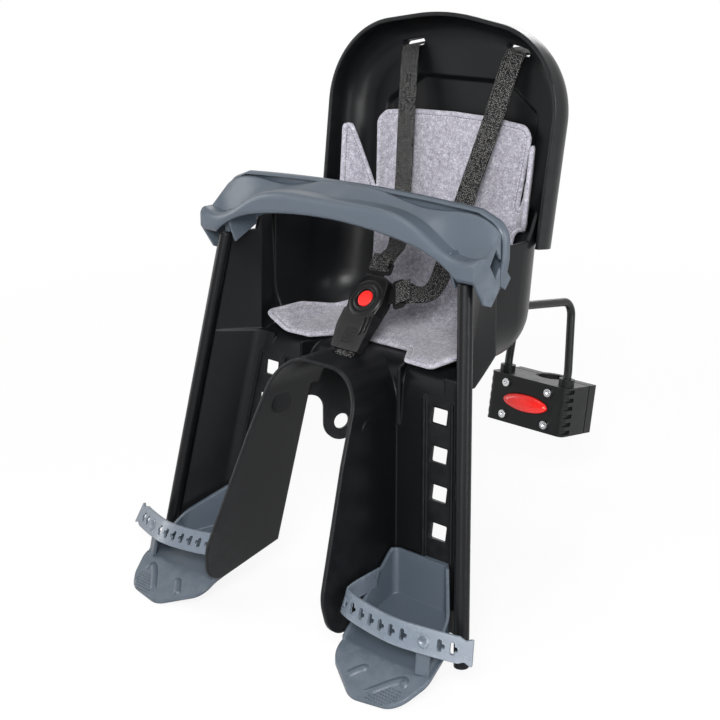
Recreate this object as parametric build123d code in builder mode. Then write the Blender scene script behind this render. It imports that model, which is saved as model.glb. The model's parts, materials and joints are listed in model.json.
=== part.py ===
from build123d import *
import os
from math import cos, radians, sin, sqrt, tan

os.makedirs("parts", exist_ok=True)

# A child bike seat that rides on a bent rod, clamped to the seat tube of a bicycle.
# The origin is the middle of the tube clamp. The seat faces -Y, and +Z is up.
# Sizes of the seat are measured from a datum ahead of the clamp, at the height of its pan.
seat_forward = 350
seat_rise = 133
wall = 4
clearance = 0.3

# Legs: two gutters that splay and rake as they go down, sizes given at the leg level
leg_level = -50
leg_splay = 0.14
leg_rake = 0.16
leg_back = -14
leg_corner = 148
leg_corner_radius = 20
leg_back_bottom = -217
bead_x = 188
bead_y = -60
bead_radius = 7.5
bead_bottom = -240
bead_top = 118

# Latch holes down each leg, between two guide rails
hole_x = 122
hole_width = 20
hole_height = 16.5
hole_pitch = 38
hole_count = 5
hole_top = -31
hole_radius = 1.5
rail_spacing = 36
rail_width = 3
rail_height = 3
rail_top = -14

# Tunnel between the legs, with its rear lobes
tunnel_half = 66
tunnel_roof = 12
tunnel_radius = 46
nose_front = -62
tunnel_rear = 84
tunnel_skirt = -36
ear_turn = 22
ear_out = 43
ear_z = -87
ear_radius = 21
ear_hole = 18
ear_arch = -51
ear_arch_radius = 18
tunnel_knee_y = -99
tunnel_knee_z = -72
tunnel_knee_radius = 60
tunnel_toe_y = -148
tunnel_toe_z = -196
tunnel_toe_radius = 40
tunnel_heel_y = -141
tunnel_heel_radius = 22
boss_y = -55
boss_z = -47.5
boss_diameter = 25
boss_height = 1.5

# Bucket: pan, side walls and rear wall
pan_bottom = 8
bucket_half = 149
bucket_taper = 0.02
bucket_rear = 126
bucket_top = 158
round_height = 50
round_run = 46
corner_extra = 14
recline = 0.14
arm_top = 134
arm_rear = 92
arm_step = 2
arm_step_run = 5
lip_radius = 26
panel_lap = 14
panel_bend = 0.6
panel_cut_y = 8

# Webbing
strap_width = 25
strap_thickness = 2
strap_bend = 12
strap_slot_bend = 5
strap_loft = 1
strap_tail = 5
strap_lap_share = 0.45
strap_rise_share = 0.14

# Backrest: a shallow tray that laps over the top of the bucket
back_bottom = 118
back_depth = 46
back_half = 155
back_shoulder = 205
back_height = 230
back_shoulder_radius = 92
back_crown_radius = 240
back_edge_radius = 34
recess_half = 104
recess_bottom = 56
recess_shoulder = 133
recess_top_half = 58
recess_top = 164
recess_depth = 6
recess_radius = 14
recess_slope = 40
slot_x = 70.9
slot_drop = 35
slot_width = 31
slot_gap = 8
slot_turn = 12
bolt_diameter = 6
bolt_head = 14
bolt_head_height = 2.2
nut_size = 10
nut_height = 5
bolt_spacing = 45
bolt_row = 20

# Liner: a felt pad that runs up the back and over the pan
liner_thickness = 7
liner_gap = 0.4
liner_half = 98
liner_front = -11
liner_radius = 52
liner_top = 250
liner_top_half = 88
liner_shoulder_z = 236
liner_wing_run = 26
liner_wing_top = 224
liner_wing_bottom = 141
liner_slit_bottom = 160
liner_flap_run = 31
liner_flap_rise = 11
liner_flap_rear = 76
liner_flap_front = -8
liner_notch = 44
liner_notch_depth = 25
liner_notch_slope = 30
liner_notch_radius = 8
liner_corner = 10

# Front bar, clipped over the tops of the beads: a front roll, a raised rear rim and panels between them
bar_wall = 3
bar_reach = 25.5
bar_flare = 8
bar_front = -50
bar_rear = 0
bar_crown = 187
bar_top = 182
bar_top_half = 158
bar_shoulder = 170
bar_shoulder_radius = 22
bar_waist = 138
bar_tip_y = -26
bar_tip_z = 96
bar_tip_depth = 7
roll_depth = 22
roll_height = 20
roll_low = 157
roll_knee = 110
roll_knee_drop = 10.5
roll_end_drop = 36
roll_out_z = 145
roll_radius = 7
roll_sink = 4
arch_radius = 5
rim_depth = 10
rim_low = 176
rim_radius = 8
rim_start = 98
panel_start = 24
panel_mid = 58
panel_mid_drop = 5
panel_end_z = 164
cheek_run = 40
cheek_top = 146
cheek_bottom = 110
rest_width = 7
tab_out = 8
tab_half = 10
window_front = -26
window_rear = -8
window_low = 121
window_high = 150

# Buckle that closes the harness, leaning back over the nose
buckle_y = 13
buckle_z = 57
buckle_lean = 38
buckle_width = 46
buckle_length = 64
buckle_front = 7.5
buckle_back_face = -8.4
buckle_split = -5.4
buckle_end = 34
buckle_corner = 9
buckle_edge = 2.5
buckle_back_edge = 1.5
button_diameter = 18
button_rise = 4
button_proud = 1.2
button_length = 8.5
button_travel = 3
button_edge = 0.8
spring_sheet = 0.4
spring_width = 6
tongue_thickness = 2.6
tongue_width = 17
tongue_root = 15
tongue_head_width = 33
tongue_head_length = 14
tongue_slot = 5
tongue_corner = 3
tongue_left_turn = 6
tongue_right_turn = -62
tongue_left_layer = 2.6
tongue_right_layer = -2.6
tongue_left_out = 30.5
tongue_right_out = 27.5
anchor_width = 40
anchor_length = 18
anchor_thickness = 3
anchor_corner = 3
anchor_tail = 3

# Retainers behind the shoulder strap slots
retainer_width = 36
retainer_length = 20
retainer_thickness = 3
retainer_corner = 4

# Footrests in the legs, sizes given at the leg level, at their lowest place
foot_wall = 3.5
foot_inner = 68
foot_inner_front = -112
foot_outer = 139
foot_side_x = 172
foot_side_y = -58
foot_top = -172
heel_z = -216
ball_y = -98
ball_z = -240
toe_y = -136
toe_z = -263
toe_inner = 112
toe_outer = 165
toe_outer_y = -130
toe_side = 182
toe_side_y = -100
runner_width = 30
runner_low = -212
sole_bend = 30
toe_radius = 30
toe_side_radius = 18
foot_side_radius = 20
foot_corner_radius = 10

# Foot straps, each held by a stud on a lug of its footrest
foot_strap_height = 18
foot_strap_thickness = 2.4
foot_strap_z = -214
foot_strap_start = -46
foot_strap_fold = -102
foot_strap_front_x = 140
foot_strap_front = -117
foot_strap_out_x = 214
foot_strap_out_y = -84
foot_strap_holes = 7
foot_strap_pitch = 12
foot_strap_hole = 6
foot_strap_slit = 2.4
stud_x = 175
stud_diameter = 5
stud_head = 9
stud_head_height = 1.5
lug_width = 14
lug_top = -195
lug_radius = 5
foot_strap_bend = 6
foot_strap_sweep = 60

# Carrier rod, its bracket behind the bucket and the block on the seat tube
rod_diameter = 10
rod_spacing = 88
rod_top_spacing = 76
rod_forward = 32
rod_corner_y = -14
rod_corner_z = 137
rod_bend = 18
rod_ease = 40
rod_end = -20
rod_kink = 48
rod_front_x = 42
rod_front_y = 152
rod_front_z = 32
neck_diameter = 6.5
neck_height = 4.4
bracket_half = 58
bracket_rear = 164
bracket_bottom = 16
bracket_block_top = 48
bracket_top = 86
bracket_flange = 5
bracket_bolt_z = 70
bracket_bolt_x = 35
bracket_radius = 8
bracket_root_radius = 5
bracket_edge_radius = 3

# Block and rear clamp half
tube_lean = 9
tube_radius = 16
liner_rubber = 2.5
block_half = 57
block_height = 60
block_face = 49
clamp_gap = 2
clamp_depth = 14
clamp_wall = 7
block_radius = 7
collar_diameter = 19
collar_height = 9
tooth_count = 6
tooth_depth = 3
screw_x = 31
screw_h = 20
screw_diameter = 5
screw_head = 10
screw_head_height = 3
screw_socket = 4
release_width = 64
release_height = 21
release_proud = 4
release_length = 18
release_travel = 5
release_room = 2
release_edge = 3
latch_thickness = 3
latch_bar = 6
latch_ear = 13

slide_length = sqrt(1 + leg_splay**2 + leg_rake**2)


# Horizontal plane at a height above the seat datum
def level(z):
    return Plane((0, -seat_forward, seat_rise + z))


# Horizontal plane that follows a leg down, so that one outline fits every height
def leg_plane(side, z):
    drop = z - leg_level
    return Plane((-side * leg_splay * drop, leg_rake * drop - seat_forward, seat_rise + z))


# Plane seen from the right side of the seat: its x runs back and its y runs up
def side_view(x):
    return Plane((x, -seat_forward, seat_rise), x_dir=(0, 1, 0), z_dir=(1, 0, 0))


# Plane seen from the front of the seat: its x runs across and its y runs up
def front_view(y):
    return Plane((0, y - seat_forward, seat_rise), x_dir=(1, 0, 0), z_dir=(0, -1, 0))


# Direction in which a footrest slides up its leg
def leg_axis(side):
    return Vector(-side * leg_splay, leg_rake, 1).normalized()


def leg_x(x, z):
    return x - leg_splay * (z - leg_level)


def leg_y(y, z):
    return y + leg_rake * (z - leg_level)


# Bucket: sections of its outside, or of its inside when a skin is taken off
def bucket_half_at(z):
    return bucket_half - bucket_taper * (z - pan_bottom)


def bucket_rear_at(z):
    return bucket_rear + recline * (z - pan_bottom)


def bucket_section(z, inset, front):
    half = bucket_half_at(z) - inset
    rear = bucket_rear_at(z) - inset
    radius = round_run + corner_extra - inset
    with BuildSketch(level(z)) as section:
        with BuildLine():
            FilletPolyline(
                (-half, front), (half, front), (half, rear), (-half, rear),
                radius=[0, 0, radius, radius],
                close=True,
            )
        make_face()
    return section.sketch


def bucket_sections(skin, front):
    turns = [0, 25, 48, 70, 90]
    sections = []
    for turn in turns:
        rise = (round_height - skin) * cos(radians(turn))
        run = (round_run - skin) * sin(radians(turn))
        sections.append(bucket_section(pan_bottom + round_height - rise, round_run - run, front))
    return sections


lean = Vector(0, recline, 1).normalized()
lean_length = sqrt(1 + recline**2)
back_low_half = bucket_half_at(back_bottom) + clearance + wall
back_y = bucket_rear_at(back_bottom) + (clearance + wall) * lean_length
back_plane = Plane(
    (0, back_y - seat_forward, seat_rise + back_bottom),
    x_dir=(1, 0, 0),
    z_dir=(0, -1, recline),
)
bolt_places = [(-1.5 * bolt_spacing, bolt_row), (-bolt_spacing / 2, bolt_row),
               (bolt_spacing / 2, bolt_row), (1.5 * bolt_spacing, bolt_row)]
joint_depth = 2 * wall + clearance

# Buckle: its face leans back, and its y runs up along it
buckle_up = Vector(0, sin(radians(buckle_lean)), cos(radians(buckle_lean)))
buckle_plane = Plane(
    (0, buckle_y - seat_forward, seat_rise + buckle_z),
    x_dir=(1, 0, 0),
    z_dir=(0, -cos(radians(buckle_lean)), sin(radians(buckle_lean))),
)


# Where the crotch strap is at a height, going straight down from the buckle
def crotch_y(z):
    return buckle_y - (buckle_z - z) * tan(radians(buckle_lean))


# Plane on the rear face of the bracket's flange, behind the bucket
bracket_plane = Plane(
    (0, bucket_rear_at(bracket_bolt_z) + (clearance + bracket_flange) * lean_length - seat_forward,
     seat_rise + bracket_bolt_z),
    x_dir=(1, 0, 0),
    z_dir=(0, -1, recline),
)
bracket_bolt_places = [(-bracket_bolt_x, 0), (bracket_bolt_x, 0)]
bracket_depth = bracket_flange + clearance + wall

bucket_front = leg_y(leg_back, 0) + lip_radius
shoulder = pan_bottom + round_height

with BuildPart() as bucket_outside:
    loft(sections=bucket_sections(0, bucket_front))
    loft(
        sections=[bucket_section(shoulder, 0, bucket_front), bucket_section(bucket_top, 0, bucket_front)],
        ruled=True,
    )

with BuildPart() as bucket_inside:
    loft(sections=bucket_sections(wall, bucket_front - 1))
    loft(
        sections=[
            bucket_section(shoulder, wall, bucket_front - 1),
            bucket_section(bucket_top + 1, wall, bucket_front - 1),
        ],
        ruled=True,
    )

# Front of the pan, rolled down into the back walls of both legs
back_wall_low = (leg_y(leg_back, leg_back_bottom), leg_back_bottom)
with BuildPart() as leg_backs:
    with BuildSketch(side_view(0)) as roll:
        with BuildLine() as roll_line:
            FilletPolyline(
                (bucket_front + wall, pan_bottom),
                (leg_y(leg_back, pan_bottom) + wall / 2, pan_bottom),
                (back_wall_low[0] + wall / 2, leg_back_bottom),
                radius=[lip_radius - wall],
            )
            offset(amount=wall, side=Side.RIGHT)
        make_face()
    extrude(amount=leg_x(leg_corner, leg_back_bottom), both=True)
    with BuildSketch(front_view(bead_y * 2)):
        with BuildLine():
            Polyline(
                (-leg_x(leg_corner, pan_bottom + wall), pan_bottom + wall),
                (leg_x(leg_corner, pan_bottom + wall), pan_bottom + wall),
                (leg_x(leg_corner, leg_back_bottom), leg_back_bottom),
                (-leg_x(leg_corner, leg_back_bottom), leg_back_bottom),
                close=True,
            )
        make_face()
    extrude(amount=-4 * abs(bead_y), mode=Mode.INTERSECT)

# Tunnel: one bent sheet from the nose to the rear lobes, trimmed to its side outline
tunnel_foot = leg_x(tunnel_half, bead_bottom)
tunnel_shoulder = leg_x(tunnel_half, tunnel_roof)


def tunnel_path(lower):
    return FilletPolyline(
        (-leg_x(tunnel_half, lower), lower),
        (-tunnel_shoulder, tunnel_roof),
        (tunnel_shoulder, tunnel_roof),
        (leg_x(tunnel_half, lower), lower),
        radius=tunnel_radius,
    )


with BuildPart() as tunnel:
    with BuildSketch(front_view(tunnel_rear)):
        with BuildLine():
            tunnel_path(bead_bottom)
            offset(amount=wall, side=Side.RIGHT)
        make_face()
    extrude(amount=tunnel_rear * 3)
    with BuildSketch(side_view(-tunnel_foot * 1.5)):
        with BuildLine():
            FilletPolyline(
                (nose_front, tunnel_roof + wall),
                (nose_front, tunnel_roof - wall),
                (tunnel_knee_y, tunnel_knee_z),
                (tunnel_toe_y, tunnel_toe_z),
                (tunnel_heel_y, bead_bottom),
                (leg_y(leg_back, leg_back_bottom), leg_back_bottom),
                (leg_y(leg_back, tunnel_skirt), tunnel_skirt),
                (tunnel_rear, tunnel_skirt),
                (tunnel_rear, tunnel_roof + wall),
                radius=[0, 0, tunnel_knee_radius, tunnel_toe_radius, tunnel_heel_radius, 0, 0, 0, 0],
                close=True,
            )
        make_face()
    extrude(amount=tunnel_foot * 3, mode=Mode.INTERSECT)

with BuildPart() as tunnel_inside:
    with BuildSketch(front_view(tunnel_rear)):
        with BuildLine():
            tunnel_path(bead_bottom - wall)
            Line((leg_x(tunnel_half, bead_bottom - wall), bead_bottom - wall),
                 (-leg_x(tunnel_half, bead_bottom - wall), bead_bottom - wall))
        make_face()
    extrude(amount=tunnel_rear * 3)

# Side panels, from the beads back to the bucket
panel_rear = bucket_front + panel_lap


# Bead, bend and rear end of a side panel's inner face at a height
def panel_points(side, z, bend):
    bead = (leg_x(bead_x, z), leg_y(bead_y, z))
    rear = (bucket_half_at(z) - wall / 2, panel_rear)
    corner = (bead[0] + bend * (rear[0] - bead[0]), bead[1] + bend * (rear[1] - bead[1]))
    if z == 0:
        corner = (leg_x(leg_corner, 0), leg_y(leg_back, 0))
    return [Vector(side * x, y) for x, y in (bead, corner, rear)]


with BuildPart() as side_panels:
    for side in (1, -1):
        outward = Vector(side * wall, wall / 2)
        for first in (0, 1):
            for z in (0, arm_top):
                points = panel_points(side, z, panel_bend)[first:first + 2]
                with BuildSketch(level(z)):
                    with BuildLine():
                        Polyline(*points, points[1] + outward, points[0] + outward, close=True)
                    make_face()
            loft(ruled=True)
    # Top edge, lower under the front bar
    with BuildSketch(side_view(-2 * bead_x)):
        with BuildLine():
            Polyline(
                (2 * bead_y, bead_top),
                (arm_step, bead_top),
                (arm_step + arm_step_run, arm_top),
                (arm_step + arm_step_run, arm_top + wall),
                (2 * bead_y, arm_top + wall),
                close=True,
            )
        make_face()
    extrude(amount=4 * bead_x, mode=Mode.SUBTRACT)
    # Lower rear corner, cut along the slope of the bucket
    with BuildSketch(side_view(-2 * bead_x)):
        with BuildLine():
            Polyline(
                (panel_cut_y, 0),
                (panel_rear + wall, panel_rear + wall - panel_cut_y),
                (panel_rear + wall, -wall),
                (panel_cut_y, -wall),
                close=True,
            )
        make_face()
    extrude(amount=4 * bead_x, mode=Mode.SUBTRACT)

with BuildPart() as seat_shell:
    add(bucket_outside.part)
    # Filler between the rounded bucket and the rolled front of the pan
    with BuildSketch(front_view(bucket_front + wall)):
        with BuildLine():
            Polyline(
                (-bucket_half_at(shoulder), shoulder),
                (bucket_half_at(shoulder), shoulder),
                (leg_x(leg_corner, pan_bottom), pan_bottom),
                (-leg_x(leg_corner, pan_bottom), pan_bottom),
                close=True,
            )
        make_face()
    extrude(amount=wall)
    add(bucket_inside.part, mode=Mode.SUBTRACT)
    # Top edge of the side walls, stepped up inside the backrest
    with BuildSketch(side_view(-bucket_half * 2)):
        with BuildLine():
            Polyline(
                (arm_rear + bucket_top - arm_top, bucket_top + 1),
                (arm_rear, arm_top),
                (2 * bead_y, arm_top),
                (2 * bead_y, bucket_top + 1),
                close=True,
            )
        make_face()
    extrude(amount=bucket_half * 4, mode=Mode.SUBTRACT)
    add(leg_backs.part)
    add(side_panels.part)
    for side in (1, -1):
        # Outer wall of the leg, from its corner out to the bead
        with BuildSketch(leg_plane(side, bead_bottom)):
            with BuildLine():
                FilletPolyline(
                    (side * (leg_corner - leg_corner_radius), leg_back - wall / 2),
                    (side * leg_corner, leg_back - wall / 2),
                    (side * bead_x, bead_y),
                    radius=leg_corner_radius,
                )
                offset(amount=wall, side=Side.LEFT if side > 0 else Side.RIGHT)
            make_face()
        extrude(amount=(pan_bottom - bead_bottom) * slide_length, dir=leg_axis(side))
        # Bead along the front edge
        with BuildSketch(leg_plane(side, bead_bottom)):
            with Locations((side * bead_x, bead_y)):
                Circle(bead_radius)
        extrude(amount=(bead_top - bead_bottom) * slide_length, dir=leg_axis(side))
        # Guide rails beside the latch holes
        with BuildSketch(leg_plane(side, leg_back_bottom)):
            for edge in (-1, 1):
                rail_x = hole_x + edge * rail_spacing / 2
                with Locations((side * rail_x, leg_back - wall / 2 - rail_height / 2)):
                    Rectangle(rail_width, rail_height)
        extrude(amount=(rail_top - leg_back_bottom) * slide_length, dir=leg_axis(side))
        # Latch holes
        for count in range(hole_count):
            hole_z = hole_top - count * hole_pitch
            with BuildSketch(front_view(bead_y)):
                with Locations((side * leg_x(hole_x, hole_z), hole_z)):
                    RectangleRounded(hole_width, hole_height, hole_radius)
            extrude(amount=2 * bead_y, mode=Mode.SUBTRACT)
    add(tunnel_inside.part, mode=Mode.SUBTRACT)
    add(tunnel.part)
    # Ears that run back from the inner sides of the legs
    for side in (1, -1):
        ear_root = (side * tunnel_half, leg_y(leg_back, ear_arch) - seat_forward, seat_rise)
        ear_along = (-side * sin(radians(ear_turn)), cos(radians(ear_turn)), 0)
        ear_normal = (cos(radians(ear_turn)), side * sin(radians(ear_turn)), 0)
        with BuildSketch(Plane(ear_root, x_dir=ear_along, z_dir=ear_normal)):
            with BuildLine():
                FilletPolyline(
                    (-wall, tunnel_roof - wall / 2),
                    (-wall, ear_arch),
                    (ear_out - ear_radius, ear_arch),
                    (ear_out - ear_radius, ear_z),
                    (ear_out + ear_radius, ear_z),
                    (ear_out + ear_radius, tunnel_roof - wall / 2),
                    radius=[0, 0, ear_arch_radius, 0, 0, 0],
                    close=True,
                )
            make_face()
            with Locations((ear_out, ear_z)):
                Circle(ear_radius)
                Circle(ear_hole / 2, mode=Mode.SUBTRACT)
        extrude(amount=side * wall)
    # Holes for the backrest bolts
    with BuildSketch(back_plane):
        with Locations(bolt_places):
            Circle(bolt_diameter / 2 + clearance)
    extrude(amount=2 * joint_depth, mode=Mode.SUBTRACT)
    # Holes for the bracket bolts
    with BuildSketch(bracket_plane):
        with Locations(bracket_bolt_places):
            Circle(bolt_diameter / 2 + clearance)
    extrude(amount=2 * bracket_depth, mode=Mode.SUBTRACT)
    # Slot for the crotch strap
    with BuildSketch(level(tunnel_roof - 2 * wall)):
        with Locations((0, crotch_y(tunnel_roof - wall / 2))):
            SlotOverall(strap_width + slot_gap, slot_gap)
    extrude(amount=3 * wall, mode=Mode.SUBTRACT)
    # Bosses on the inner sides of the legs
    for side in (1, -1):
        with BuildSketch(side_view(side * leg_x(tunnel_half, boss_z))):
            with Locations((boss_y, boss_z)):
                Circle(boss_diameter / 2)
        extrude(amount=-side * (wall + boss_height))

seat_shell.part.label = "seat_shell"
export_step(seat_shell.part, "parts/seat_shell.step")

# Backrest: a shallow tray that laps over the top of the bucket
def back_outline(inset, low):
    return FilletPolyline(
        (-back_low_half + inset, low),
        (back_low_half - inset, low),
        (back_half - inset, back_shoulder - inset),
        (0, back_height - inset),
        (-back_half + inset, back_shoulder - inset),
        radius=[0, 0, back_shoulder_radius - inset, back_crown_radius, back_shoulder_radius - inset],
        close=True,
    )


def rear_edges(block):
    rear_face = block.faces().sort_by(Axis((0, 0, 0), back_plane.z_dir))[0]
    return rear_face.edges().sort_by(Axis((0, 0, 0), lean))[1:]


# Deeper middle of the tray, behind the liner
def recess_outline(grow):
    return FilletPolyline(
        (-recess_half - grow, recess_bottom - grow),
        (recess_half + grow, recess_bottom - grow),
        (recess_half + grow, recess_shoulder),
        (recess_top_half, recess_top + grow),
        (-recess_top_half, recess_top + grow),
        (-recess_half - grow, recess_shoulder),
        radius=recess_radius,
        close=True,
    )


with BuildPart() as back_inside:
    with BuildSketch(back_plane.offset(wall)):
        with BuildLine():
            back_outline(wall, -1)
        make_face()
    extrude(amount=back_depth)
    fillet(rear_edges(back_inside), radius=back_edge_radius - wall)

slot_rise = back_height - slot_drop
slot_z = back_bottom + slot_rise / lean_length

with BuildPart() as backrest_shell:
    with BuildSketch(back_plane):
        with BuildLine():
            back_outline(0, 0)
        make_face()
    extrude(amount=back_depth)
    fillet(rear_edges(backrest_shell), radius=back_edge_radius)
    add(back_inside.part, mode=Mode.SUBTRACT)
    with BuildSketch(back_plane.offset(wall / 2)):
        with BuildLine():
            recess_outline(wall)
        make_face()
    extrude(amount=-recess_depth - wall / 2, taper=recess_slope)
    with BuildSketch(back_plane.offset(wall)):
        with BuildLine():
            recess_outline(0)
        make_face()
    extrude(amount=-recess_depth, taper=recess_slope, mode=Mode.SUBTRACT)
    with BuildSketch(back_plane):
        for side in (1, -1):
            with Locations((side * slot_x, slot_rise)):
                SlotOverall(slot_width, slot_gap, rotation=-side * slot_turn)
        with Locations(bolt_places):
            Circle(bolt_diameter / 2 + clearance)
    extrude(amount=2 * wall, mode=Mode.SUBTRACT)

backrest_shell.part.label = "backrest_shell"
export_step(backrest_shell.part, "parts/backrest_shell.step")

# Bolts that hold the backrest to the bucket: flat heads inside, nuts behind
with BuildPart() as backrest_bolts:
    with BuildSketch(back_plane.offset(joint_depth)):
        with Locations(bolt_places):
            Circle(bolt_head / 2)
    extrude(amount=bolt_head_height)
    with BuildSketch(back_plane.offset(-nut_height)):
        with Locations(bolt_places):
            Circle(bolt_diameter / 2)
    extrude(amount=nut_height + joint_depth)

backrest_bolts.part.label = "backrest_bolts"
export_step(backrest_bolts.part, "parts/backrest_bolts.step")

with BuildPart() as backrest_nuts:
    with BuildSketch(back_plane.offset(-nut_height)):
        with Locations(bolt_places):
            RegularPolygon(nut_size / 2, 6, major_radius=False)
            Circle(bolt_diameter / 2, mode=Mode.SUBTRACT)
    extrude(amount=nut_height)

backrest_nuts.part.label = "backrest_nuts"
export_step(backrest_nuts.part, "parts/backrest_nuts.step")

# Liner: a band bent along the pan and up the back, with wings and side flaps
pan_top = pan_bottom + wall
liner_pan = pan_top + liner_gap


def liner_rear(z):
    return bucket_rear_at(z) - (wall + bolt_head_height + clearance) * lean_length


with BuildPart() as seat_liner:
    with BuildSketch(side_view(0)):
        with BuildLine():
            FilletPolyline(
                (liner_front, liner_pan),
                (liner_rear(liner_pan), liner_pan),
                (liner_rear(liner_top), liner_top),
                radius=liner_radius,
            )
            offset(amount=liner_thickness, side=Side.LEFT)
        make_face()
    extrude(amount=liner_half, both=True)
    # Upper outline of the back
    with BuildSketch(front_view(-liner_top)):
        with BuildLine():
            FilletPolyline(
                (-liner_half, 0),
                (liner_half, 0),
                (liner_half, liner_shoulder_z),
                (liner_top_half, liner_top),
                (-liner_top_half, liner_top),
                (-liner_half, liner_shoulder_z),
                radius=[0, 0] + [liner_corner] * 4,
                close=True,
            )
        make_face()
    extrude(amount=-2 * liner_top, mode=Mode.INTERSECT)
    # Notch for the buckle
    with BuildSketch(level(0)):
        with BuildLine():
            FilletPolyline(
                (-liner_notch - liner_notch_slope, liner_front),
                (-liner_notch, liner_front + liner_notch_depth),
                (liner_notch, liner_front + liner_notch_depth),
                (liner_notch + liner_notch_slope, liner_front),
                radius=[0, liner_notch_radius, liner_notch_radius, 0],
                close=True,
            )
        make_face()
    extrude(amount=2 * liner_pan, mode=Mode.SUBTRACT)
    for side in (1, -1):
        # Wing beside the back
        with BuildSketch(level(liner_wing_bottom)):
            with BuildLine():
                Polyline(
                    (side * (liner_half - wall), liner_rear(liner_wing_bottom)),
                    (side * (liner_half + liner_wing_run), liner_rear(liner_wing_bottom) - liner_wing_run),
                )
                offset(amount=liner_thickness, side=Side.RIGHT if side > 0 else Side.LEFT)
            make_face()
        extrude(amount=(liner_wing_top - liner_wing_bottom) * lean_length, dir=lean)
        with BuildSketch(front_view(liner_rear(liner_wing_top))):
            with BuildLine():
                Polyline(
                    (side * (liner_half - wall), liner_wing_top + 1),
                    (side * (liner_half - wall + 1), liner_slit_bottom),
                    (side * (liner_half + liner_wing_run / 2), liner_wing_top + 1),
                    close=True,
                )
            make_face()
        extrude(amount=2 * liner_wing_run, mode=Mode.SUBTRACT)
        # Flap beside the pan
        with BuildSketch(front_view(liner_flap_rear)):
            with BuildLine():
                Polyline(
                    (side * (liner_half - wall), liner_pan),
                    (side * (liner_half + wall), liner_pan),
                    (side * (liner_half + liner_flap_run), liner_pan + liner_flap_rise),
                )
                offset(amount=liner_thickness, side=Side.LEFT if side > 0 else Side.RIGHT)
            make_face()
        extrude(amount=liner_flap_rear - liner_flap_front)

seat_liner.part.label = "seat_liner"
export_step(seat_liner.part, "parts/seat_liner.step")

# Front bar: its ends straddle the side walls, and it is open underneath
bar_bead = leg_x(bead_x, bead_top)
bar_seat = bead_top + clearance
bar_half = bar_bead + bar_reach
bar_tip_half = bar_half - bar_flare
roll_out = bar_half - bar_wall
roll_end = bar_bead
roll_rear = bar_front + roll_depth
rim_front = bar_rear - rim_depth
cheek_x = bar_bead - bead_radius - 2 * bar_wall


# Lower edge of the roll: a flat arch that steepens towards its ends
def roll_arch():
    knee = (roll_knee, roll_low - roll_knee_drop)
    end = (roll_end, roll_low - roll_end_drop)
    middle = ThreePointArc((-knee[0], knee[1]), (0, roll_low), knee)
    right = TangentArc(knee, end, tangent=middle % 1)
    left = TangentArc((-knee[0], knee[1]), (-end[0], end[1]), tangent=-(middle % 0))
    return left, middle, right


# Upper edge of the roll, or of the panel where it leaves the roll
def roll_points(sink, inset):
    top = roll_low + roll_height - sink - inset
    return [
        (panel_start, top),
        (roll_knee, top - roll_knee_drop),
        (roll_end, top - roll_end_drop),
        (roll_out - inset, roll_out_z - inset),
    ]


# Upper edge of the panel where it meets the rim
def rim_points(inset):
    return [
        (panel_start, bar_crown - inset),
        (panel_mid, bar_crown - panel_mid_drop - inset),
        (rim_start, rim_low - inset),
        (roll_end, rim_low - inset),
        (roll_out - inset, panel_end_z - inset),
    ]


# Closed front view under one of those edges
def under_edge(points, crown):
    right = points[-1]
    Spline(*[(-x, z) for x, z in reversed(points)], (0, crown), *points)
    Polyline(right, (right[0], bar_tip_z), (-right[0], bar_tip_z), (-right[0], right[1]))


# Silhouette of the rim from the front
def rim_outline(inset):
    crown = ThreePointArc(
        (-bar_top_half, bar_top - inset),
        (0, bar_crown - inset),
        (bar_top_half, bar_top - inset),
    )
    FilletPolyline(
        crown @ 1,
        (bar_half - inset, bar_shoulder - inset),
        (bar_half - inset, bar_waist),
        (bar_tip_half - inset, bar_tip_z),
        (-bar_tip_half + inset, bar_tip_z),
        (-bar_half + inset, bar_waist),
        (-bar_half + inset, bar_shoulder - inset),
        crown @ 0,
        radius=[bar_shoulder_radius, bar_shoulder_radius, 0, 0, bar_shoulder_radius, bar_shoulder_radius],
    )


# The bar as three blocks, or the room inside them when a wall is taken off
def bar_form(inset):
    roll_top = roll_low + roll_height - inset
    with BuildPart() as roll:
        with BuildSketch(front_view(roll_rear - inset)):
            with BuildLine():
                under_edge(roll_points(0, inset), roll_top)
            make_face()
        extrude(amount=roll_depth - 2 * inset)
    with BuildPart() as panel:
        with BuildSketch(front_view(roll_rear - roll_sink)):
            with BuildLine():
                under_edge(roll_points(roll_sink, inset), roll_top)
            make_face()
        with BuildSketch(front_view(rim_front)):
            with BuildLine():
                under_edge(rim_points(inset), bar_crown - inset)
            make_face()
        loft(ruled=True)
    with BuildPart() as rim:
        with BuildSketch(front_view(bar_rear - inset)):
            with BuildLine():
                rim_outline(inset)
            make_face()
        extrude(amount=rim_depth - inset)
    return roll.part, panel.part, rim.part


# Space under the arch
with BuildPart() as bar_arch:
    with BuildSketch(front_view(bar_rear)):
        with BuildLine():
            left, middle, right = roll_arch()
            Polyline(right @ 1, (roll_end, bar_tip_z), (-roll_end, bar_tip_z), left @ 1)
        make_face()
    extrude(amount=bar_rear - bar_front)

roll_block, panel_block, rim_block = bar_form(0)
with BuildPart() as front_roll:
    add(roll_block)
    add(bar_arch.part, mode=Mode.SUBTRACT)
    front_edges = front_roll.faces().sort_by(Axis.Y)[0].edges()
    fillet(front_edges.filter_by(GeomType.BSPLINE), radius=roll_radius)
    front_edges = front_roll.faces().sort_by(Axis.Y)[0].edges()
    fillet(front_edges.filter_by(GeomType.CIRCLE), radius=arch_radius)

with BuildPart() as rear_rim:
    add(rim_block)
    crown_edges = rear_rim.faces().sort_by(Axis.Y)[0].edges().sort_by(Axis.Z)[-3:]
    fillet(crown_edges, radius=rim_radius)

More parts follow.
